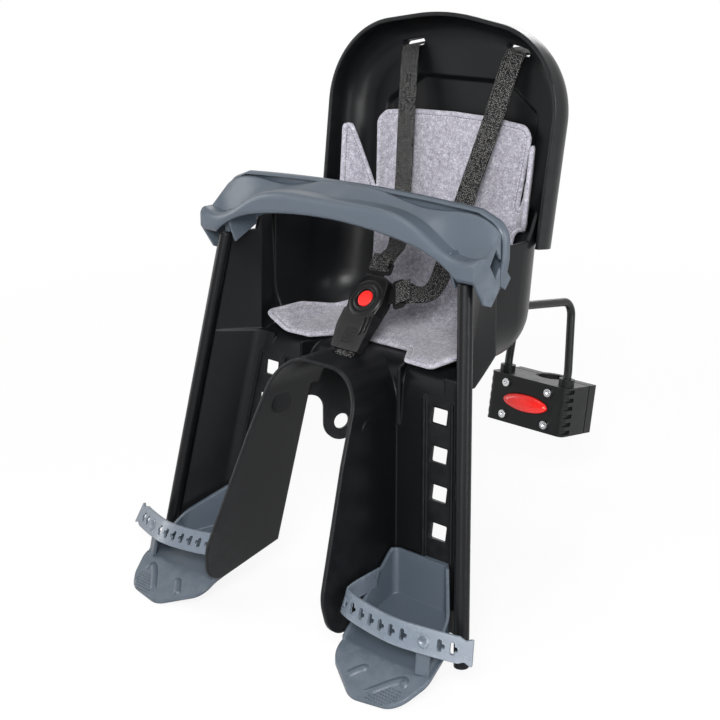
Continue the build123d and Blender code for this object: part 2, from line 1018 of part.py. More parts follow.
# Ribs that rest on the beads, up to the roof
with BuildPart() as rest_ribs:
    with BuildSketch(front_view(bar_rear)):
        for side in (1, -1):
            with Locations((side * bar_bead, bar_seat)):
                Rectangle(rest_width, bar_crown - bar_seat, align=(Align.CENTER, Align.MIN))
    extrude(amount=bar_rear - bar_front)
    add(bar_form(bar_wall / 2)[1], mode=Mode.INTERSECT)

with BuildPart() as front_bar:
    add(panel_block)
    add(rear_rim.part)
    add(bar_arch.part, mode=Mode.SUBTRACT)
    add(front_roll.part)
    for room in bar_form(bar_wall):
        add(room, mode=Mode.SUBTRACT)
    # Room for the beads and the side panels between the cheeks
    with BuildSketch(level(bar_tip_z)):
        with Locations((0, (bar_front + bar_rear) / 2)):
            Rectangle(2 * (bar_tip_half - bar_wall), bar_rear - bar_front)
    extrude(amount=bar_seat - bar_tip_z, mode=Mode.SUBTRACT)
    for side in (1, -1):
        # Inner cheek, beside the bead
        with BuildSketch(side_view(side * cheek_x - bar_wall / 2)):
            with BuildLine():
                Polyline(
                    (bar_rear - bar_wall / 2 - cheek_run, cheek_top),
                    (bar_rear - bar_wall / 2, cheek_top),
                    (bar_rear - bar_wall / 2, bar_seat + bar_tip_depth),
                    (bar_tip_y - bar_tip_depth, cheek_bottom),
                    (bar_rear - bar_wall / 2 - cheek_run, bar_seat + 2 * bar_tip_depth),
                    close=True,
                )
            make_face()
        extrude(amount=bar_wall)
    add(rest_ribs.part)
    # Tabs behind the outer cheeks
    for side in (1, -1):
        with BuildSketch(side_view(side * (bar_half + bar_tip_half - bar_wall) / 2 - bar_wall / 2)):
            with BuildLine():
                Polyline(
                    (bar_rear - tab_out, bar_seat + tab_half),
                    (bar_rear, bar_seat + tab_half),
                    (bar_rear + tab_out, bar_seat),
                    (bar_rear, bar_seat - tab_half),
                    (bar_rear - tab_out, bar_seat - tab_half / 2),
                    close=True,
                )
            make_face()
        extrude(amount=bar_wall)
    # Outer cheeks, trimmed to a tip
    with BuildSketch(side_view(-bar_half)):
        with BuildLine():
            Polyline(
                (bar_front, bar_crown),
                (bar_rear, bar_crown),
                (bar_rear, bar_seat + tab_half),
                (bar_rear + tab_out, bar_seat),
                (bar_rear, bar_seat - tab_half),
                (bar_rear - tab_out, bar_seat - tab_half / 2),
                (bar_tip_y + bar_tip_depth / 2, bar_tip_z),
                (bar_tip_y - bar_tip_depth, bar_tip_z + bar_tip_depth / 2),
                (bar_front, bar_seat + bar_tip_depth),
                close=True,
            )
        make_face()
    extrude(amount=2 * bar_half, mode=Mode.INTERSECT)
    # Windows through the outer cheeks
    for side in (1, -1):
        with BuildSketch(side_view(side * (bar_tip_half - 2 * bar_wall))):
            with BuildLine():
                window_mid = (window_front + window_rear) / 2
                Polyline(
                    (window_mid, window_high),
                    (window_rear, (window_low + window_high) / 2),
                    (window_mid, window_low),
                    (window_front, (window_low + window_high) / 2),
                    close=True,
                )
            make_face()
        extrude(amount=side * bar_reach, mode=Mode.SUBTRACT)

front_bar.part.label = "front_bar"
export_step(front_bar.part, "parts/front_bar.step")

# Buckle
spring_room = button_travel + 2 * spring_sheet
button_foot = buckle_front + button_proud - button_length
pocket_floor = button_foot - spring_room


def buckle_outline():
    return FilletPolyline(
        (-buckle_end / 2, -buckle_length / 2),
        (buckle_end / 2, -buckle_length / 2),
        (buckle_width / 2, button_rise),
        (buckle_end / 2, buckle_length / 2),
        (-buckle_end / 2, buckle_length / 2),
        (-buckle_width / 2, button_rise),
        radius=[buckle_corner, buckle_corner, 2 * buckle_corner] * 2,
        close=True,
    )


# Plane of a tongue: its y runs from the middle of the button out along the tongue
def tongue_plane(turn, layer):
    middle = buckle_plane.from_local_coords(Vector(0, button_rise, layer))
    across = buckle_plane.x_dir * cos(radians(turn)) + buckle_up * sin(radians(turn))
    return Plane(middle, x_dir=across, z_dir=buckle_plane.z_dir)


# Blade of a tongue, or the room for it in the buckle
def tongue_blade(out, gap):
    with Locations((0, (tongue_root + out) / 2)):
        Rectangle(tongue_width + 2 * gap, out - tongue_root + 2 * gap)


tongue_sides = {
    "left": (tongue_left_turn, tongue_left_layer, tongue_left_out),
    "right": (tongue_right_turn, tongue_right_layer, tongue_right_out),
}

with BuildPart() as buckle_housing:
    with BuildSketch(buckle_plane.offset(buckle_split)):
        with BuildLine():
            buckle_outline()
        make_face()
    extrude(amount=buckle_front - buckle_split)
    buckle_top = buckle_housing.faces().sort_by(Axis((0, 0, 0), buckle_plane.z_dir))[-1]
    fillet(buckle_top.edges(), radius=buckle_edge)
    with BuildSketch(buckle_plane.offset(pocket_floor)):
        with Locations((0, button_rise)):
            Circle(button_diameter / 2 + clearance)
    extrude(amount=buckle_front - pocket_floor + 1, mode=Mode.SUBTRACT)
    for turn, layer, out in tongue_sides.values():
        with BuildSketch(tongue_plane(turn, layer - tongue_thickness / 2 - clearance)):
            tongue_blade(out, clearance)
        extrude(amount=tongue_thickness + 2 * clearance, mode=Mode.SUBTRACT)
    with BuildSketch(buckle_plane.offset(-strap_thickness / 2 - clearance)):
        with Locations((0, -buckle_length / 2)):
            Rectangle(strap_width + 2 * clearance, buckle_end / 2 + 2 * clearance)
    extrude(amount=strap_thickness + 2 * clearance, mode=Mode.SUBTRACT)

buckle_housing.part.label = "buckle_housing"
export_step(buckle_housing.part, "parts/buckle_housing.step")

with BuildPart() as buckle_back:
    with BuildSketch(buckle_plane.offset(buckle_back_face)):
        with BuildLine():
            buckle_outline()
        make_face()
    extrude(amount=buckle_split - buckle_back_face)
    back_face = buckle_back.faces().sort_by(Axis((0, 0, 0), buckle_plane.z_dir))[0]
    fillet(back_face.edges(), radius=buckle_back_edge)

buckle_back.part.label = "buckle_back"
export_step(buckle_back.part, "parts/buckle_back.step")

with BuildPart() as buckle_button:
    with BuildSketch(buckle_plane.offset(button_foot)):
        with Locations((0, button_rise)):
            Circle(button_diameter / 2)
    extrude(amount=button_length)
    button_top = buckle_button.faces().sort_by(Axis((0, 0, 0), buckle_plane.z_dir))[-1]
    fillet(button_top.edges(), radius=button_edge)

buckle_button.part.label = "buckle_button"
export_step(buckle_button.part, "parts/buckle_button.step")

# Leaf spring under the button: a bowed strip with its ends on the pocket floor
with BuildPart() as buckle_spring:
    spring_middle = buckle_plane.from_local_coords(Vector(0, button_rise, 0))
    with BuildSketch(Plane(spring_middle, x_dir=(1, 0, 0), z_dir=-buckle_up)):
        spring_half = button_diameter / 2 - 2
        with BuildLine():
            ThreePointArc(
                (-spring_half, pocket_floor),
                (0, button_foot - spring_sheet),
                (spring_half, pocket_floor),
            )
            offset(amount=spring_sheet, side=Side.LEFT)
        make_face()
    extrude(amount=spring_width / 2, both=True)

buckle_spring.part.label = "buckle_spring"
export_step(buckle_spring.part, "parts/buckle_spring.step")


# Tongue: a blade in the buckle and a head with a slot for the webbing
def tongue_solid(turn, layer, out):
    with BuildPart() as tongue:
        with BuildSketch(tongue_plane(turn, layer - tongue_thickness / 2)):
            tongue_blade(out, 0)
            with Locations((0, out + tongue_head_length / 2)):
                RectangleRounded(tongue_head_width, tongue_head_length, tongue_corner)
                SlotOverall(strap_width + tongue_slot / 2, tongue_slot, mode=Mode.SUBTRACT)
        extrude(amount=tongue_thickness)
    return tongue.part


for name, (turn, layer, out) in tongue_sides.items():
    tongue_part = tongue_solid(turn, layer, out)
    tongue_part.label = "buckle_tongue_" + name
    export_step(tongue_part, "parts/buckle_tongue_" + name + ".step")

# Crotch strap from the buckle down through the nose, and the anchor under it
anchor_top = tunnel_roof - wall - clearance
with BuildPart() as crotch_strap:
    with BuildSketch(buckle_plane.offset(-strap_thickness / 2)):
        strap_top = -buckle_length / 2 + buckle_end / 4
        strap_foot = -(buckle_z - anchor_top + anchor_thickness + anchor_tail) / cos(radians(buckle_lean))
        with Locations((0, (strap_top + strap_foot) / 2)):
            Rectangle(strap_width, strap_top - strap_foot)
    extrude(amount=strap_thickness)

crotch_strap.part.label = "crotch_strap"
export_step(crotch_strap.part, "parts/crotch_strap.step")

strap_room = buckle_plane.offset(-strap_thickness / 2 - clearance)
with BuildPart() as crotch_anchor:
    with BuildSketch(level(anchor_top - anchor_thickness)):
        with Locations((0, crotch_y(anchor_top - anchor_thickness / 2))):
            RectangleRounded(anchor_width, anchor_length, anchor_corner)
    extrude(amount=anchor_thickness)
    with BuildSketch(strap_room):
        with Locations((0, (strap_top + strap_foot) / 2)):
            Rectangle(strap_width + 2 * clearance, strap_top - strap_foot + 2 * anchor_thickness)
    extrude(amount=strap_thickness + 2 * clearance, mode=Mode.SUBTRACT)

crotch_anchor.part.label = "crotch_anchor"
export_step(crotch_anchor.part, "parts/crotch_anchor.step")

# Shoulder straps, from behind the slots down the liner and forward to the tongues
slot_y = back_y + recline * (slot_z - back_bottom)


def shoulder_strap(side, turn, layer, out):
    tongue = tongue_plane(turn, layer)
    reach = out + tongue_head_length + clearance
    head = tongue.from_local_coords(Vector(0, reach, 0))
    rise = Vector(side * slot_x - head.X, 0, slot_z + seat_rise - head.Z).normalized()
    strap_side = Vector(rise.Z, 0, -rise.X)
    head = head + tongue.y_dir * (strap_thickness + strap_width / 2 * abs(strap_side.dot(tongue.y_dir)))
    foot = Vector(head.X, head.Y + seat_forward, head.Z - seat_rise)
    across = side * slot_x - foot.X
    height = slot_z - foot.Z
    run = sqrt(across**2 + height**2)
    plane = Plane(head, x_dir=(0, 1, 0), z_dir=(height, 0, -across))
    front = liner_rear(foot.Z) - liner_thickness * lean_length - strap_thickness - strap_loft - foot.Y
    front_top = liner_rear(liner_top) - liner_thickness * lean_length - strap_thickness - strap_loft - foot.Y
    slot_run = run - strap_thickness / 2
    with BuildPart() as strap:
        with BuildSketch(plane):
            with BuildLine():
                FilletPolyline(
                    (0, 0),
                    (front * strap_lap_share, strap_thickness),
                    (front - 4 * strap_loft, run * strap_rise_share),
                    (front_top - 2 * strap_loft, run * (liner_top - foot.Z) / height),
                    (slot_y - foot.Y - 2 * wall, slot_run),
                    (slot_y - foot.Y + retainer_thickness + strap_tail, slot_run),
                    radius=[strap_bend, strap_bend, strap_bend, strap_slot_bend],
                )
                offset(amount=strap_thickness, side=Side.LEFT)
            make_face()
        extrude(amount=strap_width / 2, both=True)
    return strap.part


# Retainer behind each slot, with a gap for the webbing
def strap_retainer(side):
    with BuildPart() as retainer:
        with BuildSketch(back_plane.offset(-retainer_thickness)):
            with Locations((side * slot_x, slot_rise)):
                RectangleRounded(
                    retainer_width,
                    retainer_length,
                    retainer_corner,
                    rotation=-side * slot_turn,
                )
                SlotOverall(
                    strap_width + slot_gap / 2,
                    slot_gap,
                    rotation=-side * slot_turn,
                    mode=Mode.SUBTRACT,
                )
        extrude(amount=retainer_thickness)
    return retainer.part


for name, side in (("left", -1), ("right", 1)):
    strap_part = shoulder_strap(side, *tongue_sides[name])
    strap_part.label = "shoulder_strap_" + name
    export_step(strap_part, "parts/shoulder_strap_" + name + ".step")
    retainer_part = strap_retainer(side)
    retainer_part.label = "strap_retainer_" + name
    export_step(retainer_part, "parts/strap_retainer_" + name + ".step")

# Footrest: a sloped sole with a dipped toe, three low walls, a runner and a lug for the strap
foot_back = leg_back - wall / 2 - rail_height - clearance
strap_front = Vector(foot_strap_front_x, foot_strap_front)
strap_out = Vector(foot_strap_out_x, foot_strap_out_y)
strap_run = (strap_out - strap_front).normalized()
stud_point = strap_front + strap_run * ((stud_x - foot_strap_front_x) / strap_run.X)
stud_level = foot_strap_z + foot_strap_height / 2
stud_axis = Vector(strap_run.X, strap_run.Y, 0).cross(leg_axis(1)).normalized()
stud_plane = Plane(
    (
        leg_x(stud_point.X, stud_level),
        leg_y(stud_point.Y, stud_level) - seat_forward,
        seat_rise + stud_level,
    ),
    x_dir=(strap_run.X, strap_run.Y, 0),
    z_dir=stud_axis,
)


# A point of the side view, given at the leg level and its height
def foot_point(y, z):
    return (leg_y(y, z), z)


with BuildPart() as foot_sole:
    with BuildSketch(side_view(0)):
        with BuildLine():
            FilletPolyline(
                foot_point(foot_back, heel_z),
                foot_point(ball_y, ball_z),
                foot_point(toe_y - foot_wall, toe_z - foot_wall),
                radius=sole_bend,
            )
            offset(amount=foot_wall, side=Side.LEFT)
        make_face()
    extrude(amount=2 * toe_side)
    with BuildSketch(leg_plane(1, 2 * toe_z - foot_top)):
        with BuildLine():
            FilletPolyline(
                (foot_inner, foot_back),
                (foot_inner, foot_inner_front),
                (toe_inner, toe_y),
                (toe_outer, toe_outer_y),
                (toe_side, toe_side_y),
                (foot_side_x, foot_side_y),
                (foot_outer, foot_back),
                radius=[0, toe_side_radius, toe_radius, toe_radius, toe_side_radius, foot_corner_radius, 0],
                close=True,
            )
        make_face()
    extrude(amount=2 * (foot_top - toe_z) * slide_length, dir=leg_axis(1), mode=Mode.INTERSECT)

with BuildPart() as foot_walls:
    with BuildSketch(leg_plane(1, toe_z)):
        with BuildLine():
            FilletPolyline(
                (foot_inner, foot_inner_front),
                (foot_inner, foot_back),
                (foot_outer, foot_back),
                (foot_side_x, foot_side_y),
                (toe_side - foot_wall, toe_side_y),
                radius=[foot_corner_radius, foot_corner_radius, foot_side_radius],
            )
            offset(amount=foot_wall, side=Side.RIGHT)
        make_face()
    extrude(amount=(foot_top - toe_z) * slide_length, dir=leg_axis(1))
    # Top edge that falls from the back towards the toe, and the slope of the sole under the walls
    with BuildSketch(side_view(0)):
        with BuildLine():
            Polyline(
                foot_point(foot_back, heel_z),
                foot_point(foot_back, foot_top),
                foot_point(foot_back - 2 * foot_wall, foot_top),
                foot_point(ball_y, ball_z + foot_wall),
                foot_point(ball_y, ball_z),
                close=True,
            )
        make_face()
    extrude(amount=2 * toe_side, mode=Mode.INTERSECT)

with BuildPart() as footrest_right:
    add(foot_sole.part)
    add(foot_walls.part)
    # Runner between the guide rails
    with BuildSketch(leg_plane(1, runner_low)):
        with Locations((hole_x, foot_back + (rail_height - clearance) / 2)):
            Rectangle(runner_width, rail_height + clearance)
    extrude(amount=(foot_top - runner_low) * slide_length, dir=leg_axis(1))
    # Lug behind the strap, with its stud
    with BuildSketch(stud_plane.offset(-foot_strap_thickness - clearance - foot_wall)):
        with BuildLine():
            FilletPolyline(
                (-lug_width / 2, ball_z - stud_level),
                (lug_width / 2, ball_z - stud_level),
                (lug_width / 2, lug_top - stud_level),
                (-lug_width / 2, lug_top - stud_level),
                radius=[0, 0, lug_radius, lug_radius],
                close=True,
            )
        make_face()
    extrude(amount=foot_wall)
    with BuildSketch(stud_plane.offset(-foot_strap_thickness - clearance)):
        Circle(stud_diameter / 2)
    extrude(amount=foot_strap_thickness + 2 * clearance)
    with BuildSketch(stud_plane.offset(clearance)):
        Circle(stud_head / 2)
    extrude(amount=stud_head_height)

footrest_right.part.label = "footrest_right"
export_step(footrest_right.part, "parts/footrest_right.step")

with BuildPart() as footrest_left:
    mirror(footrest_right.part, about=Plane.YZ)

footrest_left.part.label = "footrest_left"
export_step(footrest_left.part, "parts/footrest_left.step")

# Foot strap: an upright band with a row of holes
with BuildPart() as foot_strap_right:
    with BuildSketch(leg_plane(1, foot_strap_z)):
        with BuildLine():
            strap_in = foot_inner + foot_wall + clearance
            FilletPolyline(
                (strap_in, foot_strap_start),
                (strap_in, foot_strap_fold),
                (foot_strap_front_x, foot_strap_front),
                (foot_strap_out_x, foot_strap_out_y),
                radius=[foot_strap_bend, foot_strap_sweep],
            )
            offset(amount=foot_strap_thickness, side=Side.LEFT)
        make_face()
    extrude(amount=foot_strap_height * slide_length, dir=leg_axis(1))
    with BuildSketch(stud_plane.offset(stud_diameter)):
        for count in range(foot_strap_holes):
            with Locations((-(count + 1) * foot_strap_pitch, 0)):
                Rectangle(foot_strap_hole, foot_strap_slit)
                Rectangle(foot_strap_slit, foot_strap_hole)
    extrude(amount=-2 * lug_width, mode=Mode.SUBTRACT)
    with BuildSketch(stud_plane.offset(stud_diameter)):
        Circle(stud_diameter / 2 + clearance)
    extrude(amount=-2 * stud_diameter, mode=Mode.SUBTRACT)

foot_strap_right.part.label = "foot_strap_right"
export_step(foot_strap_right.part, "parts/foot_strap_right.step")

with BuildPart() as foot_strap_left:
    mirror(foot_strap_right.part, about=Plane.YZ)

foot_strap_left.part.label = "foot_strap_left"
export_step(foot_strap_left.part, "parts/foot_strap_left.step")

# Block: its planes follow the lean of the seat tube
tube_axis = Vector(0, sin(radians(tube_lean)), cos(radians(tube_lean)))
block_plane = Plane((0, 0, 0), x_dir=(1, 0, 0), z_dir=tube_axis)
block_front = Plane((0, 0, 0), x_dir=(1, 0, 0), z_dir=-block_plane.y_dir)
bore_radius = tube_radius + liner_rubber + clearance
socket_radius = rod_diameter / 2 + clearance
screw_places = [(screw_x, screw_h), (screw_x, -screw_h), (-screw_x, screw_h), (-screw_x, -screw_h)]
clamp_rear = clamp_gap / 2 + clamp_depth
release_back = block_face + release_proud - release_length
release_floor = release_back - release_travel - release_room
latch_rear = release_back - latch_bar
latch_slot_rear = latch_rear - release_travel - clearance
latch_ahead = rod_forward + release_travel + latch_ear - rod_diameter / 2


# A point of the block: across, up the tube and ahead of it
def block_point(across, up, ahead):
    return block_front.from_local_coords(Vector(across, up, ahead))


# Carrier rod: one bent bar with its two prongs in the block
rod_path_right = [
    block_point(rod_spacing / 2, rod_end, rod_forward),
    block_point(rod_spacing / 2, rod_kink, rod_forward),
    Vector(rod_top_spacing / 2, rod_corner_y, rod_corner_z),
    Vector(rod_front_x, rod_front_y - seat_forward, seat_rise + rod_front_z),
]
rod_path_left = [Vector(-point.X, point.Y, point.Z) for point in reversed(rod_path_right)]
rod_radii = [rod_ease, rod_bend, rod_bend, rod_bend, rod_bend, rod_ease]


def rod_sweep(radius):
    with BuildPart() as bar:
        with BuildLine() as path:
            FilletPolyline(*rod_path_right, *rod_path_left, radius=rod_radii)
        with BuildSketch(path.line ^ 0):
            Circle(radius)
        sweep(path=path.line)
    return bar.part


with BuildPart() as carrier_rod:
    add(rod_sweep(rod_diameter / 2))
    # Necks that the latch plate holds
    with BuildSketch(block_plane.offset(-neck_height / 2)):
        with Locations((-rod_spacing / 2, -rod_forward), (rod_spacing / 2, -rod_forward)):
            Circle(rod_diameter)
            Circle(neck_diameter / 2, mode=Mode.SUBTRACT)
    extrude(amount=neck_height, mode=Mode.SUBTRACT)

carrier_rod.part.label = "carrier_rod"
export_step(carrier_rod.part, "parts/carrier_rod.step")

# Bracket behind the bucket, moulded round the front of the rod
with BuildPart() as bucket_room:
    loft(sections=bucket_sections(-clearance, bucket_front))
    loft(
        sections=[
            bucket_section(shoulder, -clearance, bucket_front),
            bucket_section(bucket_top, -clearance, bucket_front),
        ],
        ruled=True,
    )

with BuildPart() as carrier_bracket:
    with BuildSketch(side_view(-bracket_half)):
        flange_rear = clearance * lean_length + bracket_flange * lean_length
        with BuildLine():
            FilletPolyline(
                (bracket_rear - bracket_half, bracket_bottom),
                (bracket_rear, bracket_bottom),
                (bracket_rear, bracket_block_top),
                (bucket_rear_at(bracket_block_top) + flange_rear, bracket_block_top),
                (bucket_rear_at(bracket_top) + flange_rear, bracket_top),
                (bracket_rear - bracket_half, bracket_top),
                radius=[0, bracket_radius, bracket_radius, bracket_root_radius, bracket_edge_radius, 0],
                close=True,
            )
        make_face()
    extrude(amount=2 * bracket_half)
    add(bucket_room.part, mode=Mode.SUBTRACT)
    add(rod_sweep(socket_radius), mode=Mode.SUBTRACT)
    with BuildSketch(bracket_plane):
        with Locations(bracket_bolt_places):
            Circle(bolt_diameter / 2 + clearance)
    extrude(amount=2 * bracket_flange, mode=Mode.SUBTRACT)

carrier_bracket.part.label = "carrier_bracket"
export_step(carrier_bracket.part, "parts/carrier_bracket.step")

with BuildPart() as bracket_bolts:
    with BuildSketch(bracket_plane.offset(bracket_depth)):
        with Locations(bracket_bolt_places):
            Circle(bolt_head / 2)
    extrude(amount=bolt_head_height)
    with BuildSketch(bracket_plane.offset(-nut_height)):
        with Locations(bracket_bolt_places):
            Circle(bolt_diameter / 2)
    extrude(amount=nut_height + bracket_depth)

bracket_bolts.part.label = "bracket_bolts"
export_step(bracket_bolts.part, "parts/bracket_bolts.step")

with BuildPart() as bracket_nuts:
    with BuildSketch(bracket_plane.offset(-nut_height)):
        with Locations(bracket_bolt_places):
            RegularPolygon(nut_size / 2, 6, major_radius=False)
            Circle(bolt_diameter / 2, mode=Mode.SUBTRACT)
    extrude(amount=nut_height)

bracket_nuts.part.label = "bracket_nuts"
export_step(bracket_nuts.part, "parts/bracket_nuts.step")

# Block body: front half of the clamp, with sockets for the prongs and room for the latch
with BuildPart() as block_body:
    with BuildSketch(block_plane.offset(-block_height / 2)):
        with BuildLine():
            FilletPolyline(
                (-block_half, -clamp_gap / 2),
                (-block_half, -block_face),
                (block_half, -block_face),
                (block_half, -clamp_gap / 2),
                radius=[0, block_radius, block_radius, 0],
                close=True,
            )
        make_face()
    extrude(amount=block_height)
    # Collars round the prongs
    with BuildSketch(block_plane.offset(block_height / 2)):
        with Locations((-rod_spacing / 2, -rod_forward), (rod_spacing / 2, -rod_forward)):
            Circle(collar_diameter / 2)
    extrude(amount=collar_height)
    with BuildSketch(block_plane.offset(-block_height / 2)):
        Circle(bore_radius)
    extrude(amount=block_height, mode=Mode.SUBTRACT)
    with BuildSketch(block_plane.offset(rod_end - clearance)):
        with Locations((-rod_spacing / 2, -rod_forward), (rod_spacing / 2, -rod_forward)):
            Circle(socket_radius)
    extrude(amount=block_height + collar_height, mode=Mode.SUBTRACT)
    # Toothed front corners
    for side in (1, -1):
        with BuildSketch(block_front.offset(rod_forward)):
            with Locations((side * block_half, 0)):
                with GridLocations(0, block_height / tooth_count, 1, tooth_count):
                    Rectangle(2 * tooth_depth, block_height / tooth_count / 2)
        extrude(amount=block_face, mode=Mode.SUBTRACT)
    # Room for the release button, the latch plate and the screws
    with BuildSketch(block_front.offset(release_floor)):
        Ellipse(release_width / 2 + clearance, release_height / 2 + clearance)
    extrude(amount=block_face, mode=Mode.SUBTRACT)
    with BuildSketch(block_plane.offset(-latch_thickness / 2 - clearance)):
        with Locations((0, -(latch_slot_rear + latch_ahead + clearance) / 2)):
            Rectangle(
                rod_spacing + latch_ear + 2 * clearance,
                latch_ahead + clearance - latch_slot_rear,
            )
    extrude(amount=latch_thickness + 2 * clearance, mode=Mode.SUBTRACT)
    with BuildSketch(block_front):
        with Locations(screw_places):
            Circle(screw_diameter / 2 + clearance)
    extrude(amount=block_face, mode=Mode.SUBTRACT)

block_body.part.label = "block_body"
export_step(block_body.part, "parts/block_body.step")

# Rear half of the clamp
with BuildPart() as clamp_half:
    with BuildSketch(block_plane.offset(-block_height / 2)):
        with Locations((0, clamp_gap / 2 + clamp_depth / 2)):
            Rectangle(2 * block_half, clamp_depth)
        Circle(bore_radius + clamp_wall)
        with Locations((0, clamp_gap / 2 - block_face / 2)):
            Rectangle(2 * block_half, block_face, mode=Mode.SUBTRACT)
        Circle(bore_radius, mode=Mode.SUBTRACT)
    extrude(amount=block_height)
    with BuildSketch(block_front):
        with Locations(screw_places):
            Circle(screw_diameter / 2 + clearance)
    extrude(amount=-2 * clamp_depth, mode=Mode.SUBTRACT)

clamp_half.part.label = "clamp_half"
export_step(clamp_half.part, "parts/clamp_half.step")

# Rubber liner round the seat tube, slit at the rear
with BuildPart() as tube_liner:
    with BuildSketch(block_plane.offset(-block_height / 2)):
        Circle(tube_radius + liner_rubber)
        Circle(tube_radius, mode=Mode.SUBTRACT)
        with Locations((0, tube_radius)):
            Rectangle(clamp_gap, tube_radius, mode=Mode.SUBTRACT)
    extrude(amount=block_height)

tube_liner.part.label = "tube_liner"
export_step(tube_liner.part, "parts/tube_liner.step")

# Clamp screws and their nuts
with BuildPart() as block_screws:
    with BuildSketch(block_front.offset(block_face)):
        with Locations(screw_places):
            Circle(screw_head / 2)
    extrude(amount=screw_head_height)
    with BuildSketch(block_front.offset(block_face + screw_head_height)):
        with Locations(screw_places):
            RegularPolygon(screw_socket / 2, 6, major_radius=False)
    extrude(amount=-screw_socket / 2, mode=Mode.SUBTRACT)
    with BuildSketch(block_front.offset(-clamp_rear - nut_height)):
        with Locations(screw_places):
            Circle(screw_diameter / 2)
    extrude(amount=clamp_rear + nut_height + block_face)

block_screws.part.label = "block_screws"
export_step(block_screws.part, "parts/block_screws.step")

with BuildPart() as block_nuts:
    with BuildSketch(block_front.offset(-clamp_rear - nut_height)):
        with Locations(screw_places):
            RegularPolygon(nut_size / 2, 6, major_radius=False)
            Circle(screw_diameter / 2, mode=Mode.SUBTRACT)
    extrude(amount=nut_height)

block_nuts.part.label = "block_nuts"
export_step(block_nuts.part, "parts/block_nuts.step")

# Release button, pressed towards the tube
with BuildPart() as release_button:
    with BuildSketch(block_front.offset(release_back)):
        Ellipse(release_width / 2, release_height / 2)
    extrude(amount=release_length)
    release_front = release_button.faces().sort_by(Axis((0, 0, 0), block_front.z_dir))[-1]
    fillet(release_front.edges(), radius=release_edge)

release_button.part.label = "release_button"
export_step(release_button.part, "parts/release_button.step")

# Latch plate behind the button: it grips the necks until the button is pressed
with BuildPart() as latch_plate:
    with BuildSketch(block_plane.offset(-latch_thickness / 2)):
        with Locations((0, -release_back + latch_bar / 2)):
            Rectangle(rod_spacing + latch_ear, latch_bar)
        for side in (1, -1):
            with Locations((side * rod_spacing / 2, -(latch_rear + latch_ahead) / 2)):
                Rectangle(latch_ear, latch_ahead - latch_rear)
            with Locations((side * rod_spacing / 2, -rod_forward - release_travel)):
                Circle(socket_radius, mode=Mode.SUBTRACT)
            with Locations((side * rod_spacing / 2, -rod_forward - release_travel / 2)):
                Rectangle(neck_diameter + 2 * clearance, release_travel, mode=Mode.SUBTRACT)
            with Locations((side * rod_spacing / 2, -rod_forward)):
                Circle(neck_diameter / 2 + clearance, mode=Mode.SUBTRACT)
    extrude(amount=latch_thickness)

latch_plate.part.label = "latch_plate"
export_step(latch_plate.part, "parts/latch_plate.step")

# Leaf spring behind the button
with BuildPart() as release_spring:
    spring_middle = block_point(0, release_height / 4 + latch_thickness / 2, 0)
    with BuildSketch(Plane(spring_middle, x_dir=(1, 0, 0), z_dir=tube_axis)):
        with BuildLine():
            ThreePointArc(
                (-release_width / 4, -release_floor - spring_sheet),
                (0, -release_back + spring_sheet),
                (release_width / 4, -release_floor - spring_sheet),
            )
            offset(amount=spring_sheet, side=Side.RIGHT)
        make_face()
    extrude(amount=spring_width / 4, both=True)

release_spring.part.label = "release_spring"
export_step(release_spring.part, "parts/release_spring.step")
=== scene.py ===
import json
import math

import bpy
import numpy as np
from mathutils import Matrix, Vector
from mathutils.geometry import delaunay_2d_cdt

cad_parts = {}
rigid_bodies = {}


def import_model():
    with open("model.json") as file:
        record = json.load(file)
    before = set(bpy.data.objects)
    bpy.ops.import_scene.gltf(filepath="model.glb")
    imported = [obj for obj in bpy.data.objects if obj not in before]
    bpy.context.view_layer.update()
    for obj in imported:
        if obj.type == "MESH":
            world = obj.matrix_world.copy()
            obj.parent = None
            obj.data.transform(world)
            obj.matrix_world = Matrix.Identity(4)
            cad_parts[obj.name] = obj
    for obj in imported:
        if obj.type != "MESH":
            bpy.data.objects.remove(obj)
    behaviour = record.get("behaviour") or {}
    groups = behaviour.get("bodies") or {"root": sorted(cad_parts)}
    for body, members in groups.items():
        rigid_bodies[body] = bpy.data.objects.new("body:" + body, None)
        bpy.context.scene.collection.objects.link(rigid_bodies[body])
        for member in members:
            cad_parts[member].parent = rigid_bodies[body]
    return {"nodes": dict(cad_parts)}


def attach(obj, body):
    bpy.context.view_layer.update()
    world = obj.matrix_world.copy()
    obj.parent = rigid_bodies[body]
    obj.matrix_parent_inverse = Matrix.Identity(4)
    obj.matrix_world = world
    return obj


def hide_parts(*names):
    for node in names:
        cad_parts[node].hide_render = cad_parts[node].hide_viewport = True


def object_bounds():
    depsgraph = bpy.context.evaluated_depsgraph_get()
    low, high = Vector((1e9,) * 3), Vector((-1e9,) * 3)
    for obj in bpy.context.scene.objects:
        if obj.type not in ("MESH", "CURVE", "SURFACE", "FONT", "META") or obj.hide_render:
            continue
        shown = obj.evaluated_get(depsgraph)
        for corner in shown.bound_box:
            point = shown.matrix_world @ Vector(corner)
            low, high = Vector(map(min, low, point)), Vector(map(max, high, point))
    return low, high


for leftover in list(bpy.data.objects):
    bpy.data.objects.remove(leftover)
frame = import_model()
nodes = frame["nodes"]
cadBox = [list(corner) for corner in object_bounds()]
millimetre = 0.001
meshGap = 0.0001  # points of a flat pattern closer than this are one
cornerReach = 0.48  # share of an edge that a rounded corner may take up
seatDatum = Vector((0, -350, 133))  # front of the pan, at the height of its underside, in millimetres
print("frame loaded,", len(nodes), "nodes")


# A point given in millimetres from the seat datum
def seatPoint(x, y, z):
    return (Vector((x, y, z)) + seatDatum) * millimetre


